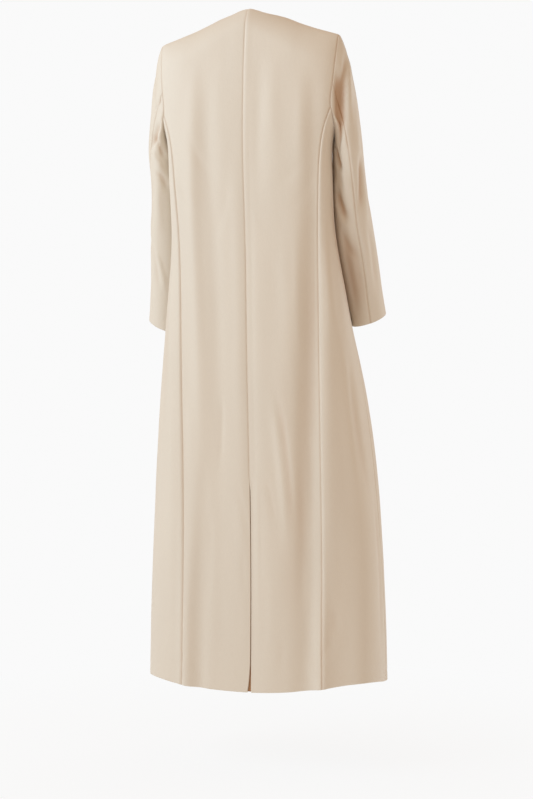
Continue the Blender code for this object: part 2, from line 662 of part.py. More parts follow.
def cloth_material(name, colour):
    material = bpy.data.materials.new(name)
    material.use_nodes = True
    shader = material.node_tree.nodes["Principled BSDF"]
    shader.inputs["Base Color"].default_value = colour
    shader.inputs["Roughness"].default_value = ROUGHNESS
    shader.inputs["Metallic"].default_value = 0.0
    material.diffuse_color = colour
    return material


def body_panel(name, grid, hand, material, depth=0.0):
    angle, z = grid[..., 0], grid[..., 1]
    return wall(name, body(angle, z, hand), body_normal(angle, z, hand), material, depth)


def sleeve_panel(name, shares, side, hand, material):
    down = np.concatenate([np.linspace(0, 1, CAP_ROWS + 1), np.linspace(1, 2, TUBE_ROWS + 1)[1:]])
    share, down = np.meshgrid(shares, down)
    flip = np.array([hand, 1, 1])
    points = sleeve(share, down, side) * flip
    return wall(name, points, sleeve_normal(share, down, side) * flip, material)


def underlay_grid():
    """Body points and directions behind the vent, taken from the back panels' own grids."""
    sides = {}
    for hand in (1, -1):
        grid = back_grid(hand)
        used = grid[:, 0, 1] < UNDERLAY_TOP_Z
        angle, z = grid[used, : UNDERLAY_COLUMNS + 1, 0], grid[used, : UNDERLAY_COLUMNS + 1, 1]
        angle = angle.copy()
        angle[:, 0] = 0
        sides[hand] = body(angle, z, hand), body_normal(angle, z, hand)
    left, right = (sides[hand] for hand in (1, -1))
    return [np.concatenate([a[:, :0:-1], b], axis=1) for a, b in zip(left, right)]


def main():
    for old in list(bpy.data.objects):
        bpy.data.objects.remove(old, do_unlink=True)
    coat = bpy.data.collections.new("abaya_cloak")
    bpy.context.scene.collection.children.link(coat)
    pieces = []
    for side, hand in (("left", 1), ("right", -1)):
        for kind, grid in (("back", back_grid), ("side_back", side_back_grid),
                           ("front", front_grid)):
            name = f"{kind}_{side}"
            material = cloth_material(name, COLOURS["crepe"])
            pieces.append(body_panel(name, grid(hand), hand, material))
        ends = armhole_samples("fore", "tip_front")[:-1], armhole_samples("tip", "hind")
        for kind, shares in (("upper", np.concatenate(ends)),
                             ("under", armhole_samples("hind", "fore"))):
            name = f"sleeve_{kind}_{side}"
            material = cloth_material(name, COLOURS["crepe"])
            pieces.append(sleeve_panel(name, shares, side, hand, material))
    points, normals = underlay_grid()
    material = cloth_material("vent_underlay", COLOURS["crepe_shade"])
    pieces.append(wall("vent_underlay", points, normals, material, CLOTH + UNDERLAY_GAP))
    for piece in pieces:
        coat.objects.link(piece)


main()
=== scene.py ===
# A full-length collarless abaya cloak in cream crepe, hung as it is worn.
# Metres, except in the tables that say millimetres. +Z is up, the wearer faces -Y and +X is their left.

import math

import bpy
import numpy as np
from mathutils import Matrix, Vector
from numpy.linalg import norm


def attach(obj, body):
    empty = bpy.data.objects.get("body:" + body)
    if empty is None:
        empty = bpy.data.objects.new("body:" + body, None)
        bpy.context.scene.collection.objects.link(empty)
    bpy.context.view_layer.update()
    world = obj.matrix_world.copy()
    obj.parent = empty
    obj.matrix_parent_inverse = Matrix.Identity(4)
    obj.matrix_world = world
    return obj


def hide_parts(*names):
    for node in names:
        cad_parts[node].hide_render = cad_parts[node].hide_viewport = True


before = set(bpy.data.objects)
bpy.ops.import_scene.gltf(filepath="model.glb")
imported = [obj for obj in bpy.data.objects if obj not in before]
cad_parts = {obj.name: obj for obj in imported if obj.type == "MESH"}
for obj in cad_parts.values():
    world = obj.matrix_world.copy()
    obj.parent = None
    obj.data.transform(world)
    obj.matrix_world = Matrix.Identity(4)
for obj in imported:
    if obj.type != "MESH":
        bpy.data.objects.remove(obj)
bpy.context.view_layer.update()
bpy.ops.object.select_all(action="DESELECT")
print("frame loaded:", len(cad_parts), "nodes")


def ease(t):
    t = np.clip(t, 0, 1)
    return t * t * (3 - 2 * t)


def bell(x):
    return np.exp(-(x**2))


def unit(v):
    return v / np.maximum(norm(v, axis=-1, keepdims=True), 1e-12)


def makeSpline(knots, values):
    # natural cubic through one column of values or several
    knots, values = np.asarray(knots, float), np.asarray(values, float)
    flat = values.ndim == 1
    values = values[:, None] if flat else values
    gaps = np.diff(knots)
    slopes = np.diff(values, axis=0) / gaps[:, None]
    system, right = np.eye(len(knots)), np.zeros_like(values)
    for i in range(1, len(knots) - 1):
        system[i, i - 1:i + 2] = gaps[i - 1], 2 * (gaps[i - 1] + gaps[i]), gaps[i]
        right[i] = 6 * (slopes[i] - slopes[i - 1])
    bend = np.linalg.solve(system, right)

    def at(where):
        where = np.clip(np.asarray(where, float), knots[0], knots[-1])
        i = np.clip(np.searchsorted(knots, where, "right") - 1, 0, len(knots) - 2)
        gap = gaps[i][..., None]
        a = (knots[i + 1] - where)[..., None] / gap
        b = 1 - a
        found = a * values[i] + b * values[i + 1]
        found += ((a**3 - a) * bend[i] + (b**3 - b) * bend[i + 1]) * gap**2 / 6
        return found[..., 0] if flat else found

    return at


def downSpline(rows):
    # spline through a table whose first column is a height that falls row by row
    rows = np.array(rows, float)[::-1]
    return makeSpline(rows[:, 0], rows[:, 1:] if rows.shape[1] > 2 else rows[:, 1])


def valueNoise(p, q, seed):
    # smooth deterministic unevenness between -1 and 1
    def corner(i, j):
        n = np.sin(i * 127.1 + j * 311.7 + seed * 74.7) * 43758.5453
        return 2 * (n - np.floor(n)) - 1
    i, j = np.floor(p), np.floor(q)
    s, t = ease(p - i), ease(q - j)
    low = corner(i, j) * (1 - s) + corner(i + 1, j) * s
    high = corner(i, j + 1) * (1 - s) + corner(i + 1, j + 1) * s
    return low * (1 - t) + high * t


body = {
    # in millimetres: height, sway, y of centre back, y of widest line, y of centre front, half width,
    # squareness behind and in front (plain numbers), how far the arm presses the side in
    "levels": [
        (60, 0, 26, -15, -60, 205, 3, 2.4, 0),
        (0, 0, 34, -15, -75, 205, 3, 2.4, 0),
        (-60, 0, 42, -15, -90, 205, 3.2, 2.5, 0),
        (-130, 0, 49, -14, -113, 201, 3.4, 2.5, 5.5),
        (-190, 0, 52, -13, -130, 194, 3.6, 2.5, 13.5),
        (-250, 0, 53, -13, -142, 182, 3.8, 2.5, 23.5),
        (-330, -1, 51, -15, -150, 179.5, 3.8, 2.5, 29),
        (-430, -4, 50, -28, -154, 180, 3.6, 2.5, 24),
        (-560, -8, 55, -50, -166, 195, 3.4, 2.5, 13.5),
        (-690, -11, 60, -60, -182, 210, 3.2, 2.5, 4),
        (-880, -16, 64, -66, -200, 231, 3, 2.5, 0),
        (-1050, -19, 64, -72, -214, 244, 3, 2.5, 0),
        (-1230, -20, 64, -80, -226, 254, 3, 2.5, 0),
        (-1420, -20, 66, -86, -234, 258, 3, 2.5, 0),
    ],
    "pressY": -0.084,  # the arm presses most here
    "pressSpread": 0.044,
    "pressStartX": 0.12,
    "shoulderSlope": 0.29,
    "shoulderLevel": 0.0215,
    "neckRise": 0.0206,  # how much the shoulder line curves up to the neck
    "neckRiseSpread": 0.1,
    "ridgeNeckY": -0.018,
    "ridgeBlend": 0.004,
    "shoulderRound": 0.075,  # how far below the shoulder line the body is still rounded over
    "neckRound": 0.06,
    "shoulderTipX": 0.195,
    "shoulderNeckX": 0.085,
    "napeZ": 0.0285,
    "underarmZ": -0.247,
    "princessTopZ": -0.19,
    "hemZ": -1.409,
    # degrees round from the centre back, height of the hem
    "hemLeft": [(0, -1.409), (25, -1.405), (48, -1.395), (90, -1.401), (135, -1.398), (180, -1.394)],
    "hemRight": [(0, -1.409), (25, -1.401), (48, -1.388), (90, -1.398), (135, -1.398), (180, -1.394)],
    # height, distance of the princess seam from the centre back
    "princess": [
        (-0.19, 0.1835), (-0.22, 0.1735), (-0.26, 0.1645), (-0.34, 0.157), (-0.43, 0.152),
        (-0.54, 0.1495), (-0.7, 0.1492), (-0.9, 0.149), (-1.1, 0.1498), (-1.42, 0.1535),
    ],
    # height, degrees of the side seam from the centre back
    "sideSeam": [(-0.247, 108.0), (-0.4, 103.0), (-0.7, 96.0), (-1.42, 92.0)],
    # height, distance of the front edge from the centre front
    "frontEdge": [
        (0.0069, 0.085), (-0.06, 0.072), (-0.14, 0.05), (-0.22, 0.025), (-0.3, 0.004),
        (-0.5, 0.005), (-0.9, 0.01), (-1.42, 0.018),
    ],
    # distance from the centre back, height
    "neckline": [(0.0, 0.0285), (0.012, 0.0274), (0.03, 0.0215), (0.06, 0.0135)],
    # height, how far the left and the right edge of the vent stand off the centre
    "vent": [(-0.963, 0.0002, 0.0002), (-0.99, 0.0004, 0.0026), (-1.2, 0.0003, 0.0028),
             (-1.35, 0.001, 0.0026), (-1.385, 0.0034, 0.0026), (-1.42, 0.008, 0.0028)],
    # height, distance from the centre, degrees instead of a distance, half, the stop's name
    "armhole": [
        (None, 0.195, None, "back", "tip"),
        (-0.085, 0.192, None, "back", None),
        (-0.142, 0.1868, None, "back", "hind"),
        (-0.19, 0.1835, None, "back", "princess"),
        (-0.232, None, 80.0, "back", None),
        (-0.247, None, 108.0, "front", "under"),
        (-0.228, None, 125.0, "front", None),
        (-0.18, 0.162, None, "front", "fore"),
        (-0.13, 0.168, None, "front", None),
        (-0.08, 0.182, None, "front", None),
        (None, 0.195, None, "front", "tip_front"),
    ],
}

# Soft ridges and hollows that hang down the body, in millimetres. Each runs down a path on the back or the
# front: height, x to the wearer's left of the centre, half width, how far it stands out.
flutes = {
    "back": [
        # left back, a hollow
        [(-60, 80, 18, 0), (-240, 78, 19, -2.6), (-480, 70, 20, -3.4), (-800, 63, 21, -3.4),
         (-1200, 70, 26, -2.6), (-1420, 70, 26, -1.6)],
        # left back, a ridge that runs out to the seam
        [(-80, 112, 15, 0), (-240, 114, 17, 3.6), (-380, 117, 17, 5.2), (-590, 112, 17, 4.8),
         (-800, 110, 18, 3.4), (-1000, 124, 20, 2.6), (-1215, 140, 15, 5.2), (-1420, 143, 15, 7)],
        [(-900, 98, 18, 0), (-1110, 105, 18, -3.4), (-1240, 108, 18, -5), (-1420, 110, 16, -5.4)],
        [(-350, 170, 14, 0), (-600, 172, 14, 1.8), (-800, 172, 15, 3.6), (-950, 171, 16, 3.6),
         (-1110, 172, 17, 2.2), (-1420, 180, 20, 1.6)],
        # along the centre back seam
        [(-200, 18, 12, 0), (-480, 18, 12, 1.2), (-800, 18, 12, 1.2), (-1100, 20, 12, 0.8),
         (-1420, 20, 12, 0)],
        [(-150, -6, 10, 0), (-480, -6, 10, -1.8), (-1000, -6, 10, -2.2), (-1250, -6, 10, -1.4),
         (-1420, -6, 10, 0)],
        [(-300, -34, 26, 0), (-480, -34, 26, 1), (-800, -38, 26, 1.8), (-1100, -42, 26, 3),
         (-1420, -36, 30, 3.4)],
        # right shoulder blade
        [(-60, -65, 18, 0), (-200, -65, 18, 1.6), (-330, -65, 18, 1.1), (-600, -65, 18, 0)],
        [(-60, -34, 14, 0), (-200, -34, 14, -1.8), (-330, -30, 14, -1), (-450, -30, 14, 0)],
        [(-100, -122, 14, 0), (-240, -124, 14, 2), (-360, -120, 14, 0)],
        # right back, the deep hollow and the ridge beside it
        [(-110, -150, 15, 0), (-200, -150, 16, -3.6), (-300, -148, 17, -6.2), (-480, -141, 19, -8.6),
         (-800, -131, 21, -10.4), (-1100, -126, 22, -9.8), (-1420, -116, 20, -7)],
        [(-300, -96, 22, 0), (-480, -96, 22, 1.8), (-600, -90, 23, 2.8), (-800, -80, 22, 4.2),
         (-905, -83, 20, 4.8), (-1000, -84, 22, 3.8), (-1200, -74, 26, 2.4), (-1420, -72, 26, 1.8)],
        # right side back
        [(-200, -160, 10, 0), (-500, -160, 10, 1.2), (-1000, -159, 12, 2), (-1420, -158, 12, 2.2)],
        [(-900, -150, 13, 0), (-1110, -150, 12, 1), (-1215, -148, 12, 3), (-1320, -148, 12, 5.8),
         (-1420, -150, 13, 6.8)],
        [(-400, -172, 14, 0), (-590, -174, 14, 2.6), (-800, -182, 16, 2.4), (-1000, -190, 16, 1.4),
         (-1420, -190, 16, 0)],
        [(-850, -195, 16, 0), (-1100, -195, 18, -1.4), (-1420, -192, 20, -4.6)],
        [(-500, -205, 13, 0), (-620, -226, 14, 2), (-800, -236, 16, 3.8), (-950, -240, 18, 3.6),
         (-1420, -236, 22, 4)],
    ],
    "front": [
        [(-300, 60, 25, 0), (-500, 61, 25, -0.7), (-1420, 65, 25, -5)],
        [(-300, 95, 30, 0), (-500, 99, 30, 1.2), (-1420, 120, 30, 7)],
        [(-350, 150, 22, 0), (-550, 157, 24, -1), (-1420, 190, 30, -6)],
        [(-300, -55, 25, 0), (-500, -56, 25, -0.9), (-1420, -60, 25, -6)],
        [(-300, -92, 26, 0), (-500, -96, 27, 1.2), (-1420, -112, 30, 7)],
        [(-350, -145, 22, 0), (-550, -151, 24, -0.8), (-1420, -180, 30, -5)],
    ],
}

bodyLevel = downSpline(np.array(body["levels"]) / ([1000] * 6 + [1, 1, 1000]))
princessX = downSpline(body["princess"])
sideDegrees = downSpline(body["sideSeam"])
frontEdgeX = downSpline(body["frontEdge"])
flutePaths = [(half, downSpline(np.array(rows) / 1000)) for half, paths in flutes.items() for rows in paths]


def ridgeZ(x):
    # height of the shoulder line
    rise = body["neckRise"] * bell(x / body["neckRiseSpread"])
    return body["shoulderLevel"] - body["shoulderSlope"] * x + rise


def ridgeY(x):
    return body["ridgeNeckY"] * (1 - ease(x / body["shoulderTipX"]))


def angleAt(x, z, half):
    # angle from the centre back at which the ring at z is x wide
    level = bodyLevel(z)
    square = level[..., 5 if half == "back" else 6]
    share = np.clip(x / level[..., 4], 0, 1)
    angle = np.arctan2(share, (1 - share**square) ** (1 / square))
    return angle if half == "back" else math.pi - angle


def fluteHeight(x, z, backShare):
    # x is signed, so a flute runs on over the centre back
    height = np.zeros_like(x)
    for half, path in flutePaths:
        centre, spread, tall = np.moveaxis(path(z), -1, 0)
        share = backShare if half == "back" else 1 - backShare
        height += share * tall * bell((x - centre) / spread)
    return height


def bodyPoint(angle, z, hand):
    # hand is 1 on the wearer's left and -1 on the right
    angle, z = np.broadcast_arrays(np.asarray(angle, float), np.asarray(z, float))
    level = bodyLevel(z)
    sway, back, side, front, wide, backSquare, frontSquare, press = np.moveaxis(level, -1, 0)
    sine, cosine = np.sin(angle), np.cos(angle)
    behind = cosine > 0
    square = np.where(behind, backSquare, frontSquare)
    reach = (np.abs(sine) ** square + np.abs(cosine) ** square) ** (-1 / square)
    x = wide * reach * sine
    y = side + np.where(behind, back - side, side - front) * reach * cosine
    nearArm = bell((y - body["pressY"]) / body["pressSpread"])
    x = x - press * nearArm * ease(x / body["pressStartX"])
    backShare = ease(0.5 + cosine)  # the flutes of back and front fade over each other at the sides
    y = y + fluteHeight(hand * x, z, backShare) * np.where(behind, 1, -1)
    roundness = body["neckRound"] + (body["shoulderRound"] - body["neckRound"]) * ease(
        x / body["shoulderTipX"])
    rolled = np.clip((ridgeZ(x) - z) / roundness, 0, 1)
    y = ridgeY(x) + (y - ridgeY(x)) * np.sqrt(1 - (1 - rolled) ** 2)
    return np.stack([sway + hand * x, y, z], axis=-1)


def bodyNormal(angle, z, hand):
    step = 1e-4
    x = np.abs(bodyPoint(angle, z, hand)[..., 0])
    below = ridgeZ(x) - z
    lower = np.where(below < 3 * step, z - 3 * step, z)
    across = bodyPoint(angle + 10 * step, lower, hand) - bodyPoint(angle - 10 * step, lower, hand)
    up = bodyPoint(angle, lower + step, hand) - bodyPoint(angle, lower - step, hand)
    found = unit(np.cross(up, across)) * hand
    fall = (ridgeZ(x - step) - ridgeZ(x + step)) / (2 * step)
    level = unit(np.stack([hand * fall, np.zeros_like(fall), np.ones_like(fall)], axis=-1))
    # the shoulder line is level, and its own direction fades into the surface's
    mix = ease(below / body["ridgeBlend"])[..., None]
    return unit(level * (1 - mix) + found * mix)


def hemZ(angle, hand):
    rows = np.array(body["hemLeft" if hand > 0 else "hemRight"], float)
    return makeSpline(rows[:, 0], rows[:, 1])(np.degrees(angle))


def necklineZ(x):
    neckX = body["shoulderNeckX"]
    rows = np.array(body["neckline"] + [(neckX, ridgeZ(neckX))])
    return makeSpline(rows[:, 0], rows[:, 1])(x)


def ventOff(z, hand):
    rows = np.array(body["vent"])[::-1]
    return np.interp(z, rows[:, 0], rows[:, 1 if hand > 0 else 2])


def hemEnd(x, half, hand):
    z = body["hemZ"]
    for _ in range(4):
        z = float(hemZ(angleAt(x, z, half), hand))
    return np.array([float(angleAt(x, z, half)), z])


def armholeCurve():
    points, stops = [], {}
    for i, (z, x, degrees, half, stop) in enumerate(body["armhole"]):
        z = float(ridgeZ(x)) if z is None else z
        points.append((math.radians(degrees) if x is None else float(angleAt(x, z, half)), z))
        if stop:
            stops[stop] = i
    points = np.array(points)
    metres = points * np.array([body["shoulderTipX"] * 0.6, 1.0])  # the body's radius here, about
    along = np.concatenate([[0], np.cumsum(norm(np.diff(metres, axis=0), axis=1))])
    along /= along[-1]
    return makeSpline(along, points), {name: along[i] for name, i in stops.items()}


armhole, armholeStops = armholeCurve()


sleeveForm = {
    # in millimetres: x, y, z of each ring's middle, its reach outwards, inwards, forwards and backwards;
    # in degrees: its back is turned outwards, its plane rises backwards and outwards, the cloth is twisted
    "rings": {
        "left": [
            (201.9, -44, -272, 35.8, 22.4, 54.4, 54.4, -2, -9, 5, 34),
            (201.9, -58, -345, 32.2, 31.1, 51.6, 51.6, 8, -11, 5, 50),
            (209.1, -78, -425, 33.9, 38, 49.7, 49.7, 11.5, -13, 5, 54),
            (216.8, -103, -505, 35.7, 41.7, 47.8, 47.8, 10.5, -14, 7, 54),
            (224.8, -124, -570, 37.7, 42.8, 46.8, 46.8, 8, -14, 13, 54),
            (232.4, -140, -631, 39.3, 42.7, 45.8, 45.8, 5.7, -14, 23, 54),
        ],
        "right": [
            (199.2, -44, -272, 36.8, 26.8, 54.4, 54.4, 20, -9, 5, -14),
            (202.9, -58, -345, 37, 34.6, 51.6, 51.6, 21, -11, 5, -10),
            (209.2, -78, -425, 39.2, 43.4, 49.7, 49.7, 17, -13, 5, -7),
            (217.7, -103, -505, 39, 44.3, 47.8, 47.8, 15.5, -15, 6, -6),
            (224.4, -124, -570, 37.3, 41.1, 46.8, 46.8, 12, -17, 9, -5),
            (230.5, -140, -624, 36.7, 38.7, 45.8, 45.8, 10, -19, 15, -5),
        ],
    },
    # degrees round the sleeve that each stop of the armhole runs down to: 0 is behind, 90 outside
    "stops": [("tip", 90.0), ("hind", 12.0), ("princess", -16.0), ("under", -90.0), ("fore", -140.0),
              ("tip_front", -270.0)],
    "capStartPull": 0.55,  # how strongly the cap leaves the armhole and meets the tube
    "capEndPull": 0.62,
    "capOutward": 0.6,
    "seamGap": 0.0003,
}
ringTables = {side: np.array(rows) / ([1000] * 7 + [1] * 4) for side, rows in sleeveForm["rings"].items()}
sleeveRings = {side: makeSpline(np.linspace(1, 2, len(rows)), rows) for side, rows in ringTables.items()}


def sleeveAngle(share):
    shares = [0.0] + [armholeStops[name] for name, _ in sleeveForm["stops"][1:]]
    return np.radians(np.interp(np.mod(share, 1.0), shares, [angle for _, angle in sleeveForm["stops"]]))


def offHole(share):
    # body point, outward direction and the direction into the hole, along the armhole
    step = 2e-3
    here, before, after = (armhole(np.clip(share + d, 0, 1)) for d in (0, -step, step))
    outward = bodyNormal(here[..., 0], here[..., 1], 1)
    along = bodyPoint(after[..., 0], after[..., 1], 1) - bodyPoint(before[..., 0], before[..., 1], 1)
    return bodyPoint(here[..., 0], here[..., 1], 1), outward, unit(np.cross(along, outward))


def sleeveRing(row, phi):
    x, y, z, outer, inner, fore, hind, turn, riseBack, riseOut, twist = np.moveaxis(row, -1, 0)
    phi = phi + np.radians(twist)
    across = np.where(np.sin(phi) > 0, outer, inner) * np.sin(phi)
    along = np.where(np.cos(phi) > 0, hind, fore) * np.cos(phi)
    turn = np.radians(turn)
    px = across * np.cos(turn) + along * np.sin(turn)
    py = along * np.cos(turn) - across * np.sin(turn)
    pz = px * np.tan(np.radians(riseOut)) + py * np.tan(np.radians(riseBack))
    return np.stack([x + px, y + py, z + pz], axis=-1)


def sleevePoint(share, down, side):
    # either sleeve, laid on the wearer's left; down is 0 at the armhole, 1 at the cap's end and 2 at the cuff
    share, down = np.broadcast_arrays(np.mod(share, 1.0), np.asarray(down, float))
    phi, rings = sleeveAngle(share), sleeveRings[side]
    tube = sleeveRing(rings(down), phi)
    top = sleeveRing(rings(np.ones_like(down)), phi)
    below = sleeveRing(rings(np.full_like(down, 1.02)), phi)
    start, outward, away = offHole(share)
    reach = norm(top - start, axis=-1, keepdims=True)
    straight = unit(top - start)
    openShare = (1 + np.sum(straight * away, axis=-1, keepdims=True)) / 2
    leave = unit(straight + sleeveForm["capOutward"] * (openShare * away + (1 - openShare) * outward))
    folded = (1 - np.sum(leave * away, axis=-1, keepdims=True)) / 2
    start = start + sleeveForm["seamGap"] * folded * outward
    t = np.clip(down, 0, 1)[..., None]
    cap = (2 * t**3 - 3 * t**2 + 1) * start + (3 * t**2 - 2 * t**3) * top
    cap += (t**3 - 2 * t**2 + t) * leave * reach * sleeveForm["capStartPull"]
    cap += (t**3 - t**2) * unit(below - top) * reach * sleeveForm["capEndPull"]
    return np.where((down < 1)[..., None], cap, tube)


def sleeveNormal(share, down, side):
    near = np.clip(down, 0.01, 1.99)
    stepRound, stepDown = 2e-3, 5e-3
    around = sleevePoint(share + stepRound, near, side) - sleevePoint(share - stepRound, near, side)
    along = sleevePoint(share, near + stepDown, side) - sleevePoint(share, near - stepDown, side)
    return unit(np.cross(along, around))


# How the cloth is divided, sewn and turned under.
cloth = {
    "thickness": 0.0016,
    "step": 0.0055,
    "edgeSteps": [0.0, 0.0008, 0.0018, 0.0032, 0.005],
    # about how long the seams below the armhole, the fronts' width, the caps and the tubes are
    "seamRun": 1.18,
    "frontRun": 0.22,
    "capRun": 0.14,
    "tubeRun": 0.36,
    "turnedThickness": 0.003,  # where the cloth is turned under along a free edge
    "turnedWidth": 0.022,
    "turnedFade": 0.004,
    "turnedLine": 0.00025,
    "turnedLineWidth": 0.0025,
    "seamDepth": 0.0012,
    "seamWidth": 0.0017,
    "ridgeHeight": 0.0018,  # the seam allowances under the cloth, that raise a ridge beside the seam
    "ridgeAway": 0.0066,
    "ridgeWidth": 0.0042,
    "puckerHeight": 0.0003,
    "puckerPitch": 0.013,
    "puckerLength": 0.016,
    "puckerStart": 0.003,
    "puckerReach": 0.011,
    "edgeBulge": 0.35,  # how round the cloth's edges are, and how hollow those of the under sleeves
    "underSleeveBulge": -0.35,
    "centreSeam": 0.5,  # its depth against the other seams; under 0.5 it counts as a free edge
    "ventFade": 0.012,
    "armholeCalm": 0.014,  # relief dies out this near the armhole, so that body and sleeve meet
    "armholeTurn": 0.008,  # the sleeve's cloth turns from facing as the body does, over this length
    # any other number gives other puckers along the seams or another unevenness
    "bodySeed": 20,
    "sleeveSeed": 60,
    "bodyRelief": 5,
    "sleeveRelief": 40,
}


def spread(length):
    # shares of a length, closer together next to both ends
    near = np.array(cloth["edgeSteps"]) / length
    count = max(2, round(length * (1 - 2 * near[-1]) / cloth["step"]))
    middle = np.linspace(near[-1], 1 - near[-1], count + 1)
    return np.concatenate([near[:-1], middle, 1 - near[-2::-1]])


def armholeShares(start, end):
    names = [name for name, _ in sleeveForm["stops"]]
    found = [np.array([armholeStops[start]])]
    for a, b in zip(names, names[1:]):
        if names.index(start) <= names.index(a) < names.index(end):
            run = armhole(np.linspace(armholeStops[a], armholeStops[b], 40))
            run = bodyPoint(run[:, 0], run[:, 1], 1)
            t = spread(norm(np.diff(run, axis=0), axis=1).sum())[1:]
            if a == "tip":  # closer together next to the shoulder's tip
                t = t**2
            elif b == "tip_front":
                t = 1 - (1 - t) ** 2
            found.append(armholeStops[a] + (armholeStops[b] - armholeStops[a]) * t)
    return np.concatenate(found)


def blendEdges(left, right, top, bottom, across, down):
    # Coons patch between four edges
    u, v = across[None, :, None], down[:, None, None]
    sides = (1 - u) * left[:, None] + u * right[:, None]
    ends = (1 - v) * top[None] + v * bottom[None]
    corners = (1 - v) * ((1 - u) * top[0] + u * top[-1]) + v * ((1 - u) * bottom[0] + u * bottom[-1])
    return sides + ends - corners


def seamBelow(kind, hand):
    t = spread(cloth["seamRun"])
    if kind == "side":
        end = float(hemZ(math.radians(body["sideSeam"][-1][1]), hand))
        z = body["underarmZ"] + (end - body["underarmZ"]) * t
        return np.stack([np.radians(sideDegrees(z)), z], axis=-1)
    end = hemEnd(body["princess"][-1][1], "back", hand)[1]
    z = body["princessTopZ"] + (end - body["princessTopZ"]) * t
    return np.stack([angleAt(princessX(z), z, "back"), z], axis=-1)


def backGrid(hand):
    tipX, neckX = body["shoulderTipX"], body["shoulderNeckX"]
    x = tipX * spread(tipX)
    x[np.argmin(np.abs(x - neckX))] = neckX
    z = np.where(x < neckX, necklineZ(x), ridgeZ(x))
    top = np.stack([angleAt(x, z, "back"), z], axis=-1)
    right = np.concatenate([armhole(armholeShares("tip", "princess"))[:-1], seamBelow("princess", hand)])
    down = (right[:, 1] - right[0, 1]) / (right[-1, 1] - right[0, 1])
    z = body["napeZ"] + (body["hemZ"] - body["napeZ"]) * down
    left = np.stack([angleAt(ventOff(z, hand), z, "back"), z], axis=-1)
    across = x / tipX
    reach = ventOff(z[-1], hand) * (1 - across) + body["princess"][-1][1] * across
    bottom = np.array([hemEnd(each, "back", hand) for each in reach])
    bottom[0], bottom[-1] = left[-1], right[-1]
    return blendEdges(left, right, top, bottom, across, down)


def sideBackGrid(hand):
    top = armhole(armholeShares("princess", "under"))
    left, right = seamBelow("princess", hand), seamBelow("side", hand)
    lengths = norm(np.diff(bodyPoint(top[:, 0], top[:, 1], 1), axis=0), axis=1)
    across = np.concatenate([[0], np.cumsum(lengths)]) / lengths.sum()
    angle = left[-1, 0] + (right[-1, 0] - left[-1, 0]) * across
    bottom = np.stack([angle, hemZ(angle, hand)], axis=-1)
    return blendEdges(left, right, top, bottom, across, spread(cloth["seamRun"]))


def frontGrid(hand):
    tipX, neckX = body["shoulderTipX"], body["shoulderNeckX"]
    across = spread(cloth["frontRun"])
    x = tipX + (neckX - tipX) * across
    top = np.stack([angleAt(x, ridgeZ(x), "front"), ridgeZ(x)], axis=-1)
    hole = armhole(armholeShares("under", "tip_front"))[::-1]
    left = np.concatenate([hole[:-1], seamBelow("side", hand)])
    down = (left[:, 1] - left[0, 1]) / (left[-1, 1] - left[0, 1])
    end = hemEnd(body["frontEdge"][-1][1], "front", hand)
    z = top[-1, 1] + (end[1] - top[-1, 1]) * down
    right = np.stack([angleAt(frontEdgeX(z), z, "front"), z], axis=-1)
    angle = left[-1, 0] + (right[-1, 0] - left[-1, 0]) * across
    bottom = np.stack([angle, hemZ(angle, hand)], axis=-1)
    bottom[0], bottom[-1] = left[-1], right[-1]
    return blendEdges(left, right, top, bottom, across, down)


roundMap = {"angles": 361, "levels": 146, "bottomZ": -1.42, "topZ": 0.03}


def roundTable(hand):
    # distance round the body from the centre back, for every angle and level
    angles = np.linspace(0, math.pi, roundMap["angles"])
    levels = np.linspace(roundMap["bottomZ"], roundMap["topZ"], roundMap["levels"])
    grid = bodyPoint(angles[None], levels[:, None], hand)
    steps = norm(np.diff(grid, axis=1), axis=2)
    return np.concatenate([np.zeros((len(levels), 1)), np.cumsum(steps, axis=1)], axis=1)


roundTables = {1: roundTable(1), -1: roundTable(-1)}


def roundDistance(angle, z, hand):
    table = roundTables[hand]
    up = (z - roundMap["bottomZ"]) / (roundMap["topZ"] - roundMap["bottomZ"])
    p = np.clip(angle / math.pi, 0, 1) * (table.shape[1] - 1)
    q = np.clip(up, 0, 1) * (table.shape[0] - 1)
    i, j = np.minimum(q.astype(int), table.shape[0] - 2), np.minimum(p.astype(int), table.shape[1] - 2)
    a, b = q - i, p - j
    low = table[i, j] * (1 - b) + table[i, j + 1] * b
    high = table[i + 1, j] * (1 - b) + table[i + 1, j + 1] * b
    return hand * (low * (1 - a) + high * a)


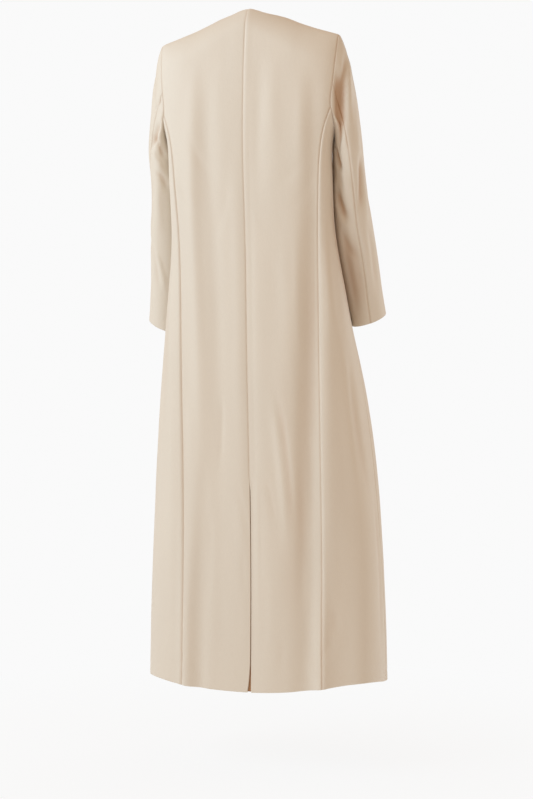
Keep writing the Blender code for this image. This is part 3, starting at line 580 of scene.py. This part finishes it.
# Creases, in millimetres: distance round from the centre back (left is over zero) and height of
# both ends, sideways bow, height (a trough is under zero) and half width.
bodyCreases = [
    # right back, from the hip down
    (-104, -520, -82, -1390, 4, -3.4, 29), (-153, -330, -151, -1400, 0, -1.6, 7),
    (-173, -1390, -174, -340, 0, 2.8, 10), (-142, -400, -124, -1250, 4, -3, 15),
    (-104, -420, -88, -1150, 6, 2.4, 15), (-50, -770, -78, -1120, 6, 2.4, 8.5),
    (-68, -800, -94, -1080, 4, -1.8, 8), (-98, -420, -110, -800, -4, -1.2, 10),
    (-112, -900, -104, -1300, 5, -1.6, 11), (-36, -960, -54, -1060, 3, -1.1, 6),
    (-16, -930, -16, -1260, 1, 1, 6), (-40, -1150, -34, -1340, -3, -0.8, 8),
    # left back
    (57, -790, 66, -950, 2, -1.3, 5.5), (24, -980, 4, -1095, 3, -1, 6),
    (13, -1110, 10, -1210, -2, -0.9, 5), (130, -790, 135, -960, 3, 1.2, 7),
    (90, -1020, 100, -1260, 5, -1, 9), (40, -330, 75, -470, 10, -1, 12),
    (120, -235, 70, -330, -8, -1.2, 11),
    # across the small of the back and under the arms
    (-135, -290, -60, -355, 8, -1, 11), (-150, -335, -95, -405, 6, -1, 9),
    (150, -330, 105, -420, -6, -1, 10),
    # right side back
    (-176, -470, -222, -760, -10, 2.6, 11), (-214, -640, -246, -1100, -6, 2.4, 12),
    (-224, -690, -284, -1040, -8, -2.4, 12), (-200, -350, -235, -520, -6, -1.8, 10),
    # left side back
    (182, -820, 184, -1290, 3, 1.8, 10), (205, -560, 222, -940, 8, -1.8, 12),
    (196, -340, 230, -500, 6, -1.6, 11),
    # near the hem
    (-182, -1205, -162, -1345, 6, -2.6, 8.5), (-166, -1350, -204, -1270, 4, 1.8, 8.5),
    (-128, -1330, -142, -1392, 0, 1.4, 9), (150, -1325, 170, -1375, 3, -1.3, 7.5),
    (-70, -1290, -60, -1385, 3, -0.9, 9),
    # sides and fronts
    (290, -420, 330, -800, 12, -3.4, 14), (355, -640, 372, -1250, 10, 4.4, 15),
    (300, -950, 322, -1340, -8, -3.4, 12), (420, -300, 400, -520, -10, -3.2, 12),
    (452, -560, 448, -1200, 6, -3.6, 13), (395, -820, 410, -1370, 4, -3, 12),
    (-300, -400, -336, -760, -12, -3.4, 13), (-350, -600, -380, -1200, -10, 4.4, 15),
    (-310, -980, -318, -1350, 7, -3, 12), (-410, -290, -392, -540, 9, -3.2, 12),
    (-446, -500, -452, -1260, -6, -3.6, 13), (-400, -880, -420, -1360, -4, -2.8, 12),
]

# The same on each sleeve: degrees round the arm (0 is behind, 90 outside) and height of both ends, bow,
# height, half width.
sleeveCreases = {"right": [
    # beside the armhole and down the back of the upper arm
    (14, -70, 6, -200, 1, -5.2, 5), (24, -85, 17, -215, 2, 3.4, 6),
    (-2, -112, -4, -285, -3, -15, 8), (9, -215, 2, -300, 1, 4, 6),
    (-30, -262, 6, -326, 4, -7.5, 6.5), (0, -290, 6, -372, 0, 4, 8),
    (-30, -346, 2, -430, 3, -8.5, 8.5), (-40, -330, -18, -372, 3, 2, 6.5),
    # outside the hind seam
    (52, -280, 26, -412, -5, -7.6, 8.2), (21, -255, 25, -355, 1, 3, 6),
    (40, -150, 48, -300, -3, 1.4, 9), (56, -200, 70, -330, 4, -1.6, 9),
    (32, -430, 26, -590, 2, 3.2, 12), (52, -420, 42, -580, -3, -3.4, 11),
    # lower arm, towards the body
    (-20, -440, 8, -505, 5, -2.6, 8), (-16, -430, -13, -640, 2, -5.6, 13),
    (12, -420, 6, -610, 1, -2.6, 11),
    # inside the bend and down the front
    (100, -360, 60, -440, 6, -2.6, 9), (150, -120, 130, -300, 4, -3.4, 9),
    (200, -160, 190, -340, -4, -3, 9), (150, -380, 215, -450, 6, -4, 8),
    (135, -430, 200, -505, 6, -3.6, 9), (170, -500, 160, -610, 2, 2, 10),
], "left": [
    (24, -80, 4, -180, 2, -2.6, 6), (36, -100, 16, -200, 2, 2, 7),
    (-16, -150, 14, -178, 1, -3.4, 5), (-12, -196, 26, -262, 3, -5.6, 6),
    (-18, -176, -8, -235, 1, 2.2, 6), (12, -226, -16, -290, 4, -4.8, 6),
    (22, -252, -8, -318, 4, 3.8, 6), (8, -300, -20, -352, 4, -5.2, 6.5),
    (22, -300, 38, -420, -4, -1.8, 9), (12, -330, 2, -440, 2, 2.2, 9),
    (-28, -170, -30, -610, 1, 5, 12), (16, -470, -12, -565, 3, 2.6, 6),
    (28, -450, 6, -560, 3, -2, 7), (40, -540, 30, -620, 0, 1.4, 10),
    (64, -400, 30, -470, -6, -2.4, 8), (110, -380, 66, -470, 6, -2.4, 9),
    (150, -120, 128, -310, 4, -3.4, 9), (198, -150, 186, -350, -4, -3, 9),
    (160, -390, 218, -460, 6, -4, 8), (140, -440, 205, -520, 6, -3.6, 9),
    (172, -510, 162, -620, 2, 2, 10),
]}
sleeveRound = 0.047  # metres for one radian round a sleeve
# how a crease's sides differ, how it fades at its ends, and the low shoulders that it is set into
creaseShape = {"steepSide": 0.8, "softSide": 1.3, "past": 0.05, "fadeIn": 0.35, "fadeOut": 0.45,
               "shoulders": 0.22, "shoulderWidth": 2.4}
# The cloth's own slow unevenness: pitch across, pitch down, height, seed.
unevenness = [(0.05, 0.23, 0.0006, 11), (0.02, 0.09, 0.00022, 23), (0.09, 0.06, 0.00022, 37)]
unevennessShift = 50  # pitches that it is moved along; another number gives another pattern


def creaseRelief(across, z, rows, turnRound=None):
    # soft troughs and ridges with one side steeper; turnRound is the way once round a sleeve
    shape = creaseShape
    height = np.zeros_like(across)
    for fromAcross, fromZ, toAcross, toZ, bow, tall, width in np.array(rows) / 1000:
        run = np.array([toAcross - fromAcross, toZ - fromZ])
        length = np.hypot(*run)
        run = run / length
        du, dz = across - fromAcross, z - fromZ
        if turnRound:
            du = du - turnRound * np.round(du / turnRound)
        t = np.clip((du * run[0] + dz * run[1]) / length, -0.2, 1.2)
        off = du * run[1] - dz * run[0] - bow * 4 * t * (1 - t)
        side = width * np.where(off > 0, shape["steepSide"], shape["softSide"])
        fade = ease((t + shape["past"]) / shape["fadeIn"])
        fade = fade * ease((1 + shape["past"] - t) / shape["fadeOut"])
        shoulders = shape["shoulders"] * bell(off / (shape["shoulderWidth"] * side))
        height += tall * fade * (bell(off / side) - shoulders)
    return height


def slowRelief(across, z, seed):
    shift = unevennessShift
    return sum(tall * valueNoise(across / pitchAcross + shift, z / pitchDown + shift, seed + offset)
               for pitchAcross, pitchDown, tall, offset in unevenness)


def gridLengths(points):
    # how far every grid point is from each edge
    across = norm(np.diff(points, axis=1), axis=2)
    down = norm(np.diff(points, axis=0), axis=2)
    left = np.concatenate([np.zeros((len(points), 1)), np.cumsum(across, axis=1)], axis=1)
    top = np.concatenate([np.zeros((1, points.shape[1])), np.cumsum(down, axis=0)], axis=0)
    return {"left": left, "right": left[:, -1:] - left, "top": top, "bottom": top[-1:] - top}


def sewn(lengths, seams, seed, ridged=()):
    # seams maps an edge to the share of each of its points that is sewn, and the rest of that edge is free;
    # ridged names the edges with the seam allowances under them
    groove, pucker, ridge = (np.zeros_like(lengths["left"]) for _ in range(3))
    freeDistance = np.full_like(groove, 1.0)
    for edge, share in seams.items():
        d = lengths[edge]
        along = lengths["top"] if edge in ("left", "right") else lengths["left"]
        share = np.broadcast_to(share[:, None] if edge in ("left", "right") else share[None], d.shape)
        groove = np.maximum(groove, share * bell(d / cloth["seamWidth"]))
        if edge in ridged:
            crest = bell((d - cloth["ridgeAway"]) / cloth["ridgeWidth"])
            ridge = np.maximum(ridge, share * crest)
        rough = valueNoise(along / cloth["puckerPitch"], d / cloth["puckerLength"], seed)
        start = 1 - bell(d / cloth["puckerStart"])
        pucker += share * rough * start * bell(d / cloth["puckerReach"])
        freeDistance = np.where(share < 0.5, np.minimum(freeDistance, d), freeDistance)
    fromTurned = freeDistance - cloth["turnedWidth"]
    turned = 1 - ease(fromTurned / cloth["turnedFade"])
    line = bell(fromTurned / cloth["turnedLineWidth"])
    height = cloth["puckerHeight"] * pucker - cloth["seamDepth"] * groove - cloth["turnedLine"] * line
    height += cloth["ridgeHeight"] * ridge
    thick = cloth["thickness"] + (cloth["turnedThickness"] - cloth["thickness"]) * turned
    return height, thick, groove


def addObject(name, data):
    made = bpy.data.objects.new(name, data)
    bpy.context.scene.collection.objects.link(made)
    return made


def makeShell(name, points, normals, thick, uv, hollow, material, bulge):
    # a cloth wall; bulge is how far the edges between its outside and its inside stand out
    rows, columns = points.shape[:2]
    count = rows * columns
    index = np.arange(count).reshape(rows, columns)
    # the edge, round from the start of the first row
    ring = np.concatenate([index[0, :-1], index[:-1, -1], index[-1, :0:-1], index[:0:-1, 0]])
    outer, facings, walls = points.reshape(-1, 3), normals.reshape(-1, 3), thick.reshape(-1, 1)
    inner = outer - facings * walls
    # is the outside on the side of down x across?
    facing = np.cross(points[1, 0] - points[0, 0], points[0, 1] - points[0, 0])
    turn = 1 if np.dot(facing, normals[0, 0]) > 0 else -1
    step = np.roll(outer[ring], -1, axis=0) - np.roll(outer[ring], 1, axis=0)
    away = -turn * unit(np.cross(step, facings[ring]))
    rims = []
    for share in (1 / 3, 2 / 3):
        rim = outer[ring] * (1 - share) + inner[ring] * share
        rims.append(rim + away * walls[ring] * bulge * math.sin(math.pi * share))
    verts = np.concatenate([outer, inner] + rims)
    a, b, c, d = index[:-1, :-1], index[1:, :-1], index[1:, 1:], index[:-1, 1:]
    quads = np.stack([a, b, c, d], axis=-1).reshape(-1, 4)
    firstRim = 2 * count + np.arange(len(ring))
    loops = [ring, firstRim, firstRim + len(ring), count + ring]
    sides = [np.stack([np.roll(one, -1), np.roll(two, -1), two, one], axis=-1)
             for one, two in zip(loops, loops[1:])]
    faces = np.concatenate([quads, quads[:, ::-1] + count] + sides)[:, ::turn]
    mesh = bpy.data.meshes.new(name)
    mesh.from_pydata(verts.tolist(), [], faces.tolist())
    mesh.shade_smooth()
    source = np.concatenate([np.arange(count), np.arange(count), ring, ring])
    corner = np.empty(len(mesh.loops), dtype=np.int64)
    mesh.loops.foreach_get("vertex_index", corner)
    layer = mesh.uv_layers.new(name="cloth")
    layer.data.foreach_set("uv", uv.reshape(-1, 2)[source][corner].astype(np.float32).ravel())
    # the painted shade of every point, by which the material darkens the colour
    attribute = mesh.attributes.new("hollow", "FLOAT", "POINT")
    attribute.data.foreach_set("value", np.clip(hollow, 0, 1).reshape(-1)[source].astype(np.float32))
    mesh.materials.append(material)
    return addObject(name, mesh)


def clothArea(points):
    # area of a grid, as its cut lies flat
    a, b, c, d = points[:-1, :-1], points[1:, :-1], points[1:, 1:], points[:-1, 1:]
    twice = norm(np.cross(b - a, c - a), axis=-1) + norm(np.cross(c - a, d - a), axis=-1)
    return float(twice.sum() / 2)


# Looks of the crepe.
crepe = {
    "colour": (0.708, 0.632, 0.527, 1.0),
    # painted shade: a darker, browner copy of the colour, for the strip behind the vent
    "shade": (0.6, 0.47, 0.345, 1.0),
    # painted shade: the colour is multiplied by this where shade falls, in seams, fold bottoms and beside the
    # body
    "hollow": (0.67, 0.445, 0.29, 1.0),  # what the colour is multiplied by, deep in a hollow or a seam
    "roughness": 0.56,
    "roughnessSpread": 0.12,
    "specular": 0.35,
    "sheen": 0.14,
    "sheenRoughness": 0.45,
    # bumps for one metre across, how much longer they are down the cloth, detail
    "grain": (1150.0, 1.35, 2.0),
    "mottle": (95.0, 1.8, 3.0),
    "cloud": (9.0, 3.0, 2.0),
    "yarn": (520.0, 5.0, 1.0),
    # strength of a bump and its depth in metres
    "grainBump": (0.6, 0.0001),
    "mottleBump": (0.55, 0.00035),
    # how much each lightens and darkens the cloth
    "cloudTone": 0.06,
    "grainTone": 0.05,
    "yarnTone": 0.035,
}


class Shade:
    # a socket of one material, so that shader maths reads as arithmetic
    def __init__(self, tree, socket=None):
        self.tree, self.socket = tree, socket

    def node(self, kind, settings=(), values=(), output=0):
        made = self.tree.nodes.new("ShaderNode" + kind)
        for key, value in dict(settings).items():
            setattr(made, key, value)
        for key, value in dict(values).items():
            if isinstance(value, Shade):
                self.tree.links.new(value.socket, made.inputs[key])
            else:
                made.inputs[key].default_value = value
        return Shade(self.tree, made.outputs[output]) if made.outputs else None

    def maths(self, operation, other):
        return self.node("Math", {"operation": operation}, {0: self, 1: other})

    def __add__(self, other):
        return self.maths("ADD", other)

    def __sub__(self, other):
        return self.maths("SUBTRACT", other)

    def __mul__(self, other):
        return self.maths("MULTIPLY", other)

    __radd__ = __add__


def emptied(owner):
    owner.use_nodes = True
    owner.node_tree.nodes.clear()
    return Shade(owner.node_tree)


def crepeMaterial(name, colour):
    material = bpy.data.materials.new(name)
    start = emptied(material)
    uv = start.node("UVMap", {"uv_map": "cloth"})

    def noise(scale, stretch, detail):
        place = start.node("Mapping", {}, {"Vector": uv, "Scale": (1.0, 1.0 / stretch, 1.0)})
        return start.node("TexNoise", {"noise_dimensions": "2D"},
                          {"Vector": place, "Scale": scale, "Detail": detail, "Roughness": 0.6})

    def bump(height, strength, depth, **under):
        return start.node("Bump", {}, {"Strength": strength, "Distance": depth, "Height": height, **under})

    grain, mottle, cloud, yarn = (noise(*crepe[each]) for each in ("grain", "mottle", "cloud", "yarn"))
    # painted shade, read from the mesh, mixes the colour towards its darker, warmer copy
    hollow = start.node("Attribute", {"attribute_name": "hollow"}, output=2)
    tone = (cloud - 0.5) * crepe["cloudTone"] + (grain - 0.5) * crepe["grainTone"]
    tone = tone + (yarn - 0.5) * crepe["yarnTone"]
    paintedShadeColour = tuple(one * other for one, other in zip(colour, crepe["hollow"]))
    mixed = start.node("Mix", {"data_type": "RGBA"}, {0: hollow, 6: colour, 7: paintedShadeColour}, output=2)
    shaded = start.node("VectorMath", {"operation": "SCALE"}, {0: mixed, "Scale": 1.0 + tone})
    normal = bump(grain, *crepe["grainBump"], Normal=bump(mottle, *crepe["mottleBump"]))
    surface = start.node("BsdfPrincipled", {}, {
        "Base Color": shaded, "Roughness": crepe["roughness"] + (mottle - 0.5) * crepe["roughnessSpread"],
        "Normal": normal, "Sheen Weight": crepe["sheen"], "Sheen Roughness": crepe["sheenRoughness"],
        "Specular IOR Level": crepe["specular"]})
    start.node("OutputMaterial", {}, {"Surface": surface})
    return material


def finishPiece(piece, node, points):
    lengths = gridLengths(points)
    area = clothArea(points)
    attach(piece, "root")
    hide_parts(node)


# How much shade is painted into the cloth's colour: in a seam, in the bottom of a fold, and where the right
# sleeve hangs close to the body. It is painted warm, as light that bounces between layers of cream cloth is
# warmer.
shading = {
    "seam": 0.3,
    "fold": 0.75,
    "foldDepth": 0.0085,
    "close": {"left": 0.0, "right": 0.45},
    "closeFrom": (-0.165, 0.05),  # height, and how fast it starts below
    "bodyTo": (-0.66, 0.12),  # height, and how fast it ends above
    "sleeveTo": (-0.68, 0.16),
    "bodyY": (-0.075, 0.062),  # the middle of that part of the body, and its half width
    "bodyX": (0.12, 0.04),  # how far out it starts, and how fast
    "sleeveDegrees": (-88, 52),  # the middle of that side of the sleeve, and its half width
}


# painted shade: seam grooves, fold bottoms and the place beside the body
def hollowness(groove, relief, close):
    return shading["seam"] * groove + shading["fold"] * ease(-relief / shading["foldDepth"]) + close


# painted shade where the sleeve hangs close to the body, fading in and out with height
def hangsClose(z, end, side):
    top, start = shading["closeFrom"]
    bottom, fade = shading[end]
    return shading["close"][side] * ease((top - z) / start) * ease((z - bottom) / fade)


def calm(distance):
    return ease(distance / cloth["armholeCalm"])


def sewnAllRound(z):
    # the whole of every edge, but for the one at the bottom
    rows, columns = z.shape
    return {"left": np.ones(rows), "right": np.ones(rows), "top": np.ones(columns),
            "bottom": np.zeros(columns)}


handOf = {"left": 1, "right": -1}
panelNames = {"back": "backPanel", "side_back": "sideBackPanel", "front": "frontPanel",
              "sleeve_upper": "upperSleeve", "sleeve_under": "underSleeve"}


def finishPanel(kind, side, points, shaped, normals, thick, uv, hollow, material):
    bulge = cloth["underSleeveBulge" if kind == "sleeve_under" else "edgeBulge"]
    name = panelNames[kind] + side.capitalize()
    piece = makeShell(name, shaped, normals, thick, uv, hollow, material, bulge)
    finishPiece(piece, kind + "_" + side, points)


def bodyPanel(kind, side, grid, material):
    hand = handOf[side]
    angle, z = grid[..., 0], grid[..., 1]
    points, normals = bodyPoint(angle, z, hand), bodyNormal(angle, z, hand)
    across = roundDistance(angle, z, hand)
    lengths = gridLengths(points)
    seams, ridged, far = sewnAllRound(z), [], 1.0
    if kind == "back":
        aboveVent = z[:, 0] - body["vent"][0][0]
        seams["left"] = cloth["centreSeam"] * ease(aboveVent / cloth["ventFade"] + 0.5)
        out = np.abs(points[0, :, 0] - bodyLevel(z[0])[:, 0])
        seams["top"] = (out >= body["shoulderNeckX"]).astype(float)
        holeDistance = np.where(z[:, -1:] > body["princessTopZ"], lengths["right"], far)
        ridged = ["left"] if side == "right" else []
    elif kind == "side_back":
        holeDistance = lengths["top"]
        ridged = ["left"]
    else:
        seams["right"] = 0 * seams["right"]
        holeDistance = np.where(z[:, :1] > body["underarmZ"], lengths["left"], far)
    height, thick, groove = sewn(lengths, seams, cloth["bodySeed"] + hand * 3, ridged)
    relief = creaseRelief(across, z, bodyCreases) + slowRelief(across, z, cloth["bodyRelief"])
    shaped = points + normals * (height + relief * calm(holeDistance))[..., None]
    # painted shade where the right sleeve hangs close to the body
    middle, spreadY = shading["bodyY"]
    startX, fadeX = shading["bodyX"]
    close = bell((points[..., 1] - middle) / spreadY) * hangsClose(z, "bodyTo", side)
    close *= ease((np.abs(points[..., 0]) - startX) / fadeX)
    uv = np.stack([across, z], axis=-1)
    hollow = hollowness(groove, relief, close)
    finishPanel(kind, side, points, shaped, normals, thick, uv, hollow, material)


def sleevePanel(kind, side, shares, material):
    hand = handOf[side]
    down = np.concatenate([spread(cloth["capRun"]), 1 + spread(cloth["tubeRun"])[1:]])
    share, down = np.meshgrid(shares, down)
    flip = np.array([hand, 1, 1])
    points, normals = sleevePoint(share, down, side), sleeveNormal(share, down, side)
    lengths = gridLengths(points)
    # next to the armhole the cloth faces as the body does
    _, outward, _ = offHole(np.mod(share, 1.0))
    near = ease(lengths["top"] / cloth["armholeTurn"])[..., None]
    normals = unit(outward * (1 - near) + normals * near)
    z = points[..., 2]
    rings = ringTables[side]
    middleX, middleY = (np.interp(-z, -rings[:, 2], rings[:, i]) for i in (0, 1))
    aroundArm = np.arctan2(points[..., 0] - middleX, points[..., 1] - middleY)
    creases = np.array(sleeveCreases[side], float)
    creases[:, [0, 2]] = np.radians(creases[:, [0, 2]]) * sleeveRound * 1000
    relief = creaseRelief(aroundArm * sleeveRound, z, creases, 2 * math.pi * sleeveRound)
    relief += slowRelief(points[..., 0] + 0.8 * points[..., 1], z, cloth["sleeveRelief"] + hand)
    # the cloth's own way round; the upper sleeve runs on over the front
    turned = sleeveAngle(share)
    turned = np.where((turned < math.radians(-100)) & (kind == "sleeve_upper"), turned + 2 * math.pi, turned)
    uv = np.stack([turned * sleeveRound, z], axis=-1)
    height, thick, groove = sewn(lengths, sewnAllRound(z), cloth["sleeveSeed"] + hand * 3)
    shaped = points + normals * (height + relief * calm(lengths["top"]))[..., None]
    # painted shade on the side of the sleeve that faces the body
    middle, half = np.radians(shading["sleeveDegrees"])
    close = bell((aroundArm - middle) / half) * hangsClose(z, "sleeveTo", side)
    hollow = hollowness(groove, relief, close)
    finishPanel(kind, side, points, shaped * flip, normals * flip, thick, uv, hollow, material)


# The strip of cloth that shows behind the vent, drawn in painted shade; run is about how long it is.
underlay = {"halfWidth": 0.0638, "columns": 25, "topZ": -0.915, "run": 0.49, "depth": 0.0035,
            "hemRise": 0.0015}


def ventUnderlay(material):
    x = underlay["halfWidth"] * np.linspace(-1, 1, underlay["columns"])
    t = spread(underlay["run"])[:, None]
    halves = []
    for hand, part in ((-1, x[x <= 0]), (1, x[x > 0])):
        bottom = np.array([hemEnd(abs(each), "back", hand)[1] for each in part]) + underlay["hemRise"]
        z = underlay["topZ"] + (bottom - underlay["topZ"]) * t
        angle = angleAt(np.broadcast_to(np.abs(part), z.shape), z, "back")
        halves.append([z] + [find(angle, z, hand) for find in (roundDistance, bodyPoint, bodyNormal)])
    z, across, points, normals = (np.concatenate(both, axis=1) for both in zip(*halves))
    relief = creaseRelief(across, z, bodyCreases) + slowRelief(across, z, cloth["bodyRelief"])
    shaped = points + normals * (relief - underlay["depth"])[..., None]
    thick = np.full(z.shape, cloth["thickness"])
    uv = np.stack([across, z], axis=-1)
    # painted shade over the whole strip
    piece = makeShell("ventUnderlay", shaped, normals, thick, uv, np.ones_like(z), material,
                      cloth["edgeBulge"])
    finishPiece(piece, "vent_underlay", points)


print("sewing the coat")
crepeCloth = crepeMaterial("creamCrepe", crepe["colour"])
# a copy of the crepe in painted shade, for the strip behind the vent
shadedCrepeCopy = crepeMaterial("creamCrepeShade", crepe["shade"])
for side, hand in handOf.items():
    bodyPanel("back", side, backGrid(hand), crepeCloth)
    bodyPanel("side_back", side, sideBackGrid(hand), crepeCloth)
    bodyPanel("front", side, frontGrid(hand), crepeCloth)
    upper = np.concatenate([armholeShares("fore", "tip_front")[:-1], armholeShares("tip", "hind")])
    sleevePanel("sleeve_upper", side, upper, crepeCloth)
    sleevePanel("sleeve_under", side, armholeShares("hind", "fore"), crepeCloth)
ventUnderlay(shadedCrepeCopy)

# The studio: a white room, a big soft light on the wearer's left and weaker ones round the rest.
studio = {
    "cameraDegrees": 16.0,  # turned from straight behind towards the wearer's right
    "cameraDistance": 3.3,
    "cameraZ": -0.799,
    "cameraLens": 69.9,
    "cameraShift": 0.0213,
    "floorZ": -1.58,
    "floorRadius": 9.0,
    "floorMatt": 0.93,
    # how much of the floor's light is its own, near the coat and far from it, and how far from it that is
    "floorGlow": (0.93, 1.0),
    "floorAway": (0.2, 1.3),
    "white": 0.955,
    "ambient": (0.575, 0.386, 0.23),  # the room's own light, warmed by the cloth and the floor
    # x, y, z, size, watts, colour
    "lights": {
        "keyLight": (2.02, 2.09, 1.2, 1.9, 54.0, (0.79, 1.02, 1.23)),
        "sideLight": (2.9, 0.83, 1.2, 1.9, 18.0, (0.79, 1.02, 1.23)),
        "frontLight": (-2.9, -3.1, 0.9, 2.6, 44.0, (0.8, 1.0, 1.16)),
    },
    "aim": (0.0, 0.0, -0.72),
}


def grey(value):
    return (value, value, value, 1.0)


def makeStudio():
    for name, (x, y, z, size, watts, colour) in studio["lights"].items():
        data = bpy.data.lights.new(name, "AREA")
        data.shape, data.size, data.energy, data.color = "DISK", size, watts, colour
        lamp = addObject(name, data)
        lamp.location = (x, y, z)
        lamp.rotation_euler = (Vector(studio["aim"]) - lamp.location).to_track_quat("-Z", "Y").to_euler()
    bpy.ops.mesh.primitive_circle_add(vertices=96, radius=studio["floorRadius"], fill_type="NGON",
                                      location=(0, 0, studio["floorZ"]))
    floor = bpy.context.object
    floor.name = "studioFloor"
    material = bpy.data.materials.new("paleFloor")
    start = emptied(material)
    place = start.node("TexCoord", output=3)
    away = start.node("VectorMath", {"operation": "LENGTH"}, {0: place}, output=1)
    fromMin, fromMax, toMin, toMax = studio["floorAway"] + studio["floorGlow"]
    far = start.node("MapRange", {"interpolation_type": "SMOOTHSTEP"}, {
        "Value": away, "From Min": fromMin, "From Max": fromMax, "To Min": toMin, "To Max": toMax})
    matt = start.node("BsdfDiffuse", {}, {"Color": grey(studio["floorMatt"])})
    glow = start.node("Emission", {}, {"Color": grey(studio["white"])})
    mixed = start.node("MixShader", {}, {0: far, 1: matt, 2: glow})
    start.node("OutputMaterial", {}, {"Surface": mixed})
    floor.data.materials.append(material)
    world = bpy.data.worlds.new("whiteRoom")
    start = emptied(world)
    seen = start.node("LightPath")
    room = start.node("Background", {}, {"Color": studio["ambient"] + (1.0,)})
    white = start.node("Background", {}, {"Color": grey(studio["white"])})
    mixed = start.node("MixShader", {}, {0: seen, 1: room, 2: white})
    start.node("OutputWorld", {}, {"Surface": mixed})
    bpy.context.scene.world = world
    turned = math.radians(studio["cameraDegrees"])
    data = bpy.data.cameras.new("studioCamera")
    data.lens, data.shift_x, data.clip_end = studio["cameraLens"], studio["cameraShift"], 60.0
    camera = addObject("studioCamera", data)
    ahead = Vector((math.sin(turned), -math.cos(turned), 0.0))
    camera.location = -ahead * studio["cameraDistance"] + Vector((0.0, 0.0, studio["cameraZ"]))
    camera.rotation_euler = ahead.to_track_quat("-Z", "Y").to_euler()
    bpy.context.scene.camera = camera
    bpy.context.scene.view_settings.view_transform = "Standard"


makeStudio()
print("studio set up")
